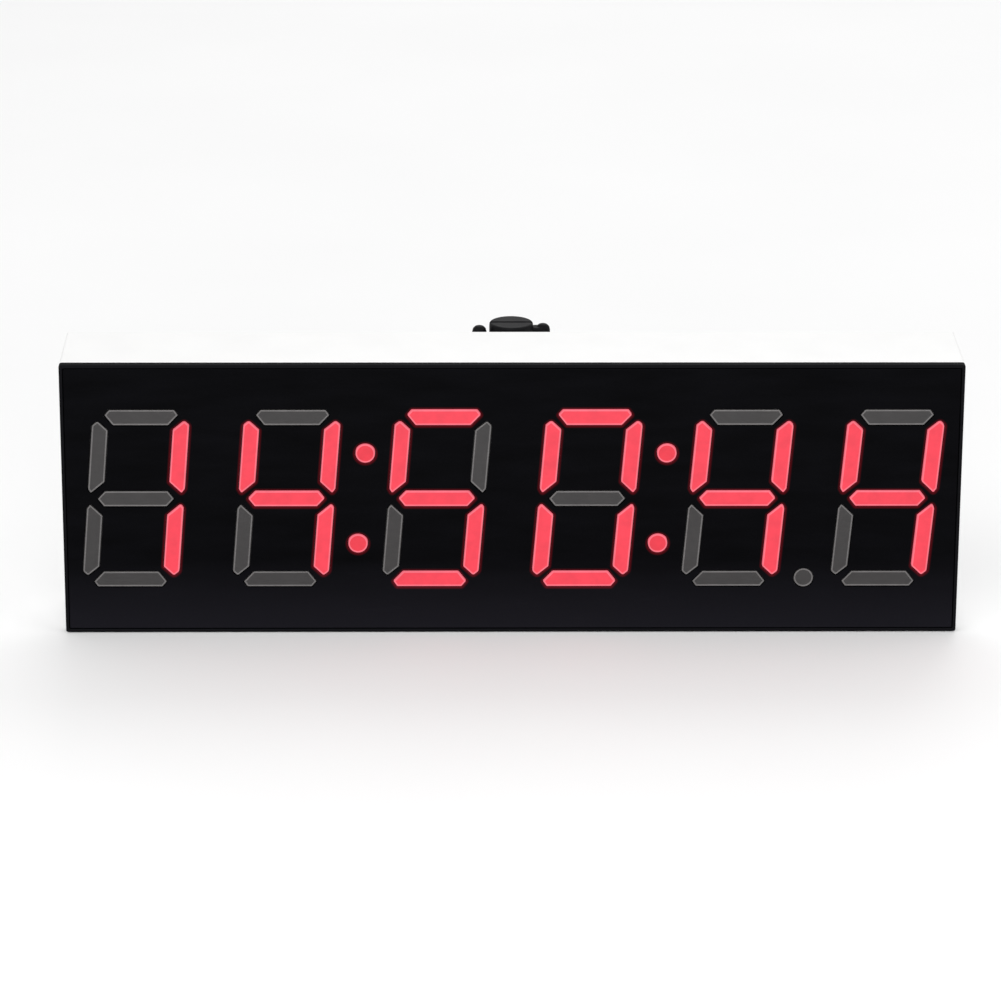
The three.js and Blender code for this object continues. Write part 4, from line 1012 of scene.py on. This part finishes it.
def swivel_arm():
    """The arm: two ears round the eye, a web between them and the tilting joint's tongue."""
    place = ARM
    pan_y = place.y0 + ARM_RADIUS
    web_front, web_back = pan_y + WEB_START, pan_y + WEB_END
    low_x, high_x = span(place.x, ARM_RADIUS)
    low_z = Place("pan_bolt").z0 + PAN_HEAD_HEIGHT + GAP
    corners = [(low_x, place.y0), (high_x, place.y0), (high_x, web_back), (low_x, web_back)]
    outline = polygon(corners, [ARM_RADIUS, ARM_RADIUS, 0.8, 0.8], 16)
    ears = []
    for z0 in (low_z, place.z1 - ARM_EAR):
        z1 = z0 + ARM_EAR
        bore = Feature(circle(place.x, pan_y, PAN_BORE), edge(z0, z1, 0.3, way=-1))
        ears.append(solid("swivel_arm_fine", Feature(outline, edge(z0, z1, 0.5)), [bore], axis="Z"))
    web = block("web", (low_x, high_x), (web_front, web_back), (low_z, place.z1), 0.5, 0.5)
    gusset = [
        (web_back - 1, low_z), (TILT_Y - 3, TILT_Z - 6), (TILT_Y, TILT_Z),
        (TILT_Y - 1, TILT_Z + 6.5), (web_back - 1, place.z1 - 1),
    ]
    tongue_x = span(place.x, TONGUE_HALF_WIDTH)
    tongue = solid("tongue", Feature(polygon(gusset, 0.6), edge(*tongue_x, 0.5)), axis="X")
    knuckle = rod("knuckle", (TILT_Y, TILT_Z), TILT_RADIUS, *tongue_x, "X", 64, 0.5, 0.5)
    bore = rod("bore", (TILT_Y, TILT_Z), TILT_BORE, tongue_x[0] - 1, tongue_x[1] + 1, "X", 32)
    made = combined(combined(ears[0], [ears[1], web, tongue, knuckle]), [bore], "DIFFERENCE")
    piece(made, "swivel_arm", [NYLON_BLACK], "swivel_arm")


def hexagon(u, v, radius):
    angles = [math.pi / 3 * step + math.pi / 6 for step in range(6)]
    return polygon([(u + radius * math.cos(a), v + radius * math.sin(a)) for a in angles], 0.25, 3)


def hex_body(name, centre, radius, start, end, axis, bore=None):
    chamfer = 0.45
    start_edge = [(-2 * chamfer, start), (-chamfer * 0.6, start + 0.12), (0.0, start + chamfer)]
    end_edge = [(0.0, end - chamfer), (-chamfer * 0.6, end - 0.12), (-2 * chamfer, end)]
    profile = start_edge + end_edge
    through = [Feature(circle(*centre, bore, 32), edge(start, end, 0.35, way=-1))] if bore else []
    return solid(name, Feature(hexagon(*centre, radius), profile), through, axis=axis)


def pan_bolt():
    place = Place("pan_bolt")
    centre = (place.x, place.y)
    head_top = place.z0 + PAN_HEAD_HEIGHT
    head = hex_body("pan_bolt_fine", centre, PAN_HEAD_RADIUS, place.z0, head_top, "Z")
    shank = rod("shank", centre, PAN_BOLT_RADIUS, head_top - 1, place.z1, "Z", 40, 0.02, 0.4)
    piece(combined(head, [shank]), "swivel_arm", [ZINC], "pan_bolt")


def clamp_washer():
    place = Place("clamp_washer")
    outline = circle(place.x, place.y, WASHER_RADIUS, 64)
    bore = Feature(circle(place.x, place.y, PAN_BORE), edge(place.z0, place.z1, 0.1, way=-1))
    made = solid("clamp_washer_fine", Feature(outline, edge(place.z0, place.z1, 0.2)), [bore], axis="Z")
    piece(made, "swivel_arm", [ZINC], "clamp_washer")


def wing_knob():
    """The clamp knob, moulded in one: a hub, a bar, a taller web on one side and two finger tips."""
    place = Place("wing_knob")
    low, top = place.z0, place.z1
    middle = Vector((place.x, place.y))

    def direction(turn):
        return Vector((math.cos(turn), math.sin(turn)))

    def strip(start, end, half_width, radius, turn=WING_TURN):
        along, across = direction(turn), direction(turn + math.pi / 2)
        corners = [(start, -half_width), (end, -half_width), (end, half_width), (start, half_width)]
        return polygon([tuple(middle + along * u + across * v) for u, v in corners], radius)

    def upright(name, outline, profile):
        return solid(name, Feature(outline, profile), axis="Z")

    bar_half = WING_RADIUS - WING_BAR_INSET
    bar_low = low + WING_LIFT + WING_BAR_INSET
    bar_outline = strip(-WING_REACH, WING_REACH, bar_half, 0.5)
    web_outline = strip(0, WING_REACH, bar_half, 0.5)
    hub = upright("wing_knob_fine", circle(place.x, place.y, KNOB_RADIUS, 72), edge(low, top, 0.6, 0.7))
    wing = upright("bar", bar_outline, edge(bar_low, low + WING_BAR_TOP, 0.6))
    web = upright("web", web_outline, edge(bar_low, top - WEB_DROP, 0.6))
    tip_edge = edge(low + WING_LIFT, top - TIP_DROP, 0.5, WING_RADIUS * 0.85)
    tips = []
    for side in (-1, 1):
        centre = middle + direction(WING_TURN) * (side * WING_REACH)
        tips.append(upright("tip", circle(*centre, WING_RADIUS, 40), tip_edge))
    made = combined(hub, [wing, web, *tips])
    slot = strip(-KNOB_RADIUS - 1, KNOB_RADIUS + 1, GROOVE_HALF_WIDTH, 0.1, turn=0.0)
    groove = upright("groove", slot, edge(top - GROOVE_DEPTH, top + 1, 0.02))
    socket = rod("socket", (place.x, place.y), PAN_BORE, low - 1, top - KNOB_SOCKET_ROOF, "Z", 40)
    made = combined(made, [groove, socket], "DIFFERENCE")
    even = made.modifiers.new("even", "REMESH")
    even.mode = "VOXEL"
    even.voxel_size = KNOB_VOXEL * MM
    soft = made.modifiers.new("soft", "SMOOTH")
    soft.factor = 0.5
    soft.iterations = 4
    piece(baked(made), "wing_knob", [NYLON_BLACK], "wing_knob")


def wall_plate():
    """The tilting foot: a plate with four screw holes and two ears."""
    place = Place("wall_plate")
    face = place.y1 - WALL_PLATE
    sink_floor = face + WALL_SINK_DEPTH
    outline = rectangle(place.x0, place.x1, place.z0, place.z1, WALL_CORNER, 8)
    profile = edge(face, sink_floor, 0.25, 0.02, way=-1)
    profile += [(-WALL_HOLE_STEP, sink_floor), (-WALL_HOLE_STEP, place.y1)]
    holes = []
    for side in (-1, 1):
        for up in (-1, 1):
            x, z = place.x + side * WALL_HOLE_X, place.z + up * WALL_HOLE_Z
            holes.append(Feature(circle(x, z, WALL_SINK_RADIUS), profile))
    made = solid("wall_plate_fine", Feature(outline, edge(face, place.y1, 0.8, 0.2)), holes)
    low, high, far = TILT_Z - TILT_RADIUS, TILT_Z + TILT_RADIUS, TILT_Y - TILT_RADIUS
    points = [(far, low), (face + 1, low), (face + 1, high), (far, high)]
    ear_outline = polygon(points, [TILT_RADIUS, 0.2, 0.2, TILT_RADIUS], 16)
    ears = []
    for side in (-1, 1):
        x0, x1 = sorted((place.x + side * WALL_EAR_START, place.x + side * WALL_EAR_END))
        bore = Feature(circle(TILT_Y, TILT_Z, TILT_BORE), edge(x0, x1, 0.3, way=-1))
        ears.append(solid("ear", Feature(ear_outline, edge(x0, x1, 0.5)), [bore], axis="X"))
    piece(combined(made, ears), "wall_plate", [NYLON_BLACK], "wall_plate")


def tilt_hardware():
    bolt, nut = Place("tilt_bolt"), Place("tilt_nut")
    centre = (TILT_Y, TILT_Z)
    head_end = bolt.x0 + TILT_HEAD_HEIGHT
    head = hex_body("tilt_bolt_fine", centre, TILT_HEAD_RADIUS, bolt.x0, head_end, "X")
    shank = rod("shank", centre, TILT_BOLT_RADIUS, head_end - 1, bolt.x1, "X", 36, 0.02, 0.4)
    piece(combined(head, [shank]), "wall_plate", [ZINC], "tilt_bolt")
    made = hex_body("tilt_nut_fine", centre, TILT_HEAD_RADIUS, nut.x0, nut.x1, "X", TILT_BORE)
    piece(made, "wall_plate", [ZINC], "tilt_nut")


# ---- Sealed inner pieces: their CAD solids, with softened edges ----

INNER = {
    "reflector": REFLECTOR_WHITE,
    "led_board": CIRCUIT_GREEN,
    "control_board": CIRCUIT_GREEN,
    "led_driver": PART_BLACK,
    "ir_receiver": PART_BLACK,
    "mcu_chip": PART_BLACK,
    "voltage_regulator": PART_BLACK,
    "buzzer": PART_BLACK,
    "coin_cell_holder": PART_BLACK,
    "reservoir_capacitor": NICKEL,
    "power_switch": NICKEL,
    "coin_cell": NICKEL,
    "ribbon_cable": RIBBON_GREY,
    **{f"tact_switch_{i + 1}": PART_BLACK for i in range(BUTTON_COUNT)},
}


def inner_pieces():
    for node, material in INNER.items():
        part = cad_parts[node]
        for place in part.material_slots:
            place.link = "OBJECT"
            place.material = material
        flat = part.modifiers.new("flat", "DECIMATE")
        flat.decimate_type = "DISSOLVE"
        flat.angle_limit = math.radians(1)
        soft = part.modifiers.new("soft_edges", "BEVEL")
        soft.width = 0.15 * MM
        soft.segments = 2
        soft.limit_method = "ANGLE"
        soft.angle_limit = math.radians(50)


# ---- Room ----


# Metres and watts.
FLOOR_HALF_WIDTH = 6
FLOOR_DROP = 0.0002
SKY_STRENGTH = 0.7
Lamp = namedtuple("Lamp", "name place size power")
LAMPS = [
    Lamp("key_light", (-0.9, -1.1, 1.5), 1.2, 9),
    Lamp("fill_light", (1.2, -0.7, 1.0), 1.0, 4),
    Lamp("back_light", (0.2, 1.3, 1.3), 1.0, 6),
    Lamp("front_light", (0.0, -1.5, 0.5), 0.9, 10),
]


def make_floor():
    surface = Surface("pale_floor", 0.6, specular=0.2)
    tone = surface.ranged(surface.noise(180, 3), 0.3, 0.7, 0, 1)
    surface.set("Base Color", surface.mix(tone, (0.9, 0.9, 0.9), (0.92, 0.92, 0.92)))
    floor = bpy.data.objects.new("floor", bpy.data.meshes.new("floor"))
    half = FLOOR_HALF_WIDTH
    corners = [(-half, -half, 0), (half, -half, 0), (half, half, 0), (-half, half, 0)]
    floor.data.from_pydata(corners, [], [(0, 1, 2, 3)])
    floor.data.materials.append(surface.material)
    floor.location.z = -FLOOR_DROP
    bpy.context.scene.collection.objects.link(floor)


def make_light():
    world = bpy.data.worlds.new("studio")
    world.use_nodes = True
    sky = world.node_tree.nodes["Background"]
    sky.inputs["Color"].default_value = (1, 1, 1, 1)
    sky.inputs["Strength"].default_value = SKY_STRENGTH
    bpy.context.scene.world = world
    for lamp in LAMPS:
        light = bpy.data.objects.new(lamp.name, bpy.data.lights.new(lamp.name, "AREA"))
        light.data.size = lamp.size
        light.data.energy = lamp.power
        light.location = lamp.place
        light.rotation_mode = "QUATERNION"
        light.rotation_quaternion = (-Vector(lamp.place)).to_track_quat("-Z", "Y")
        bpy.context.scene.collection.objects.link(light)
    bpy.context.scene.view_settings.view_transform = "Standard"


face_panel()
lenses()
front_bezel()
housing_shell()
rear_cover()
screws()
button_caps()
power_slider()
dc_jack()
swivel_block()
swivel_arm()
pan_bolt()
clamp_washer()
wing_knob()
wall_plate()
tilt_hardware()
inner_pieces()
make_floor()
make_light()
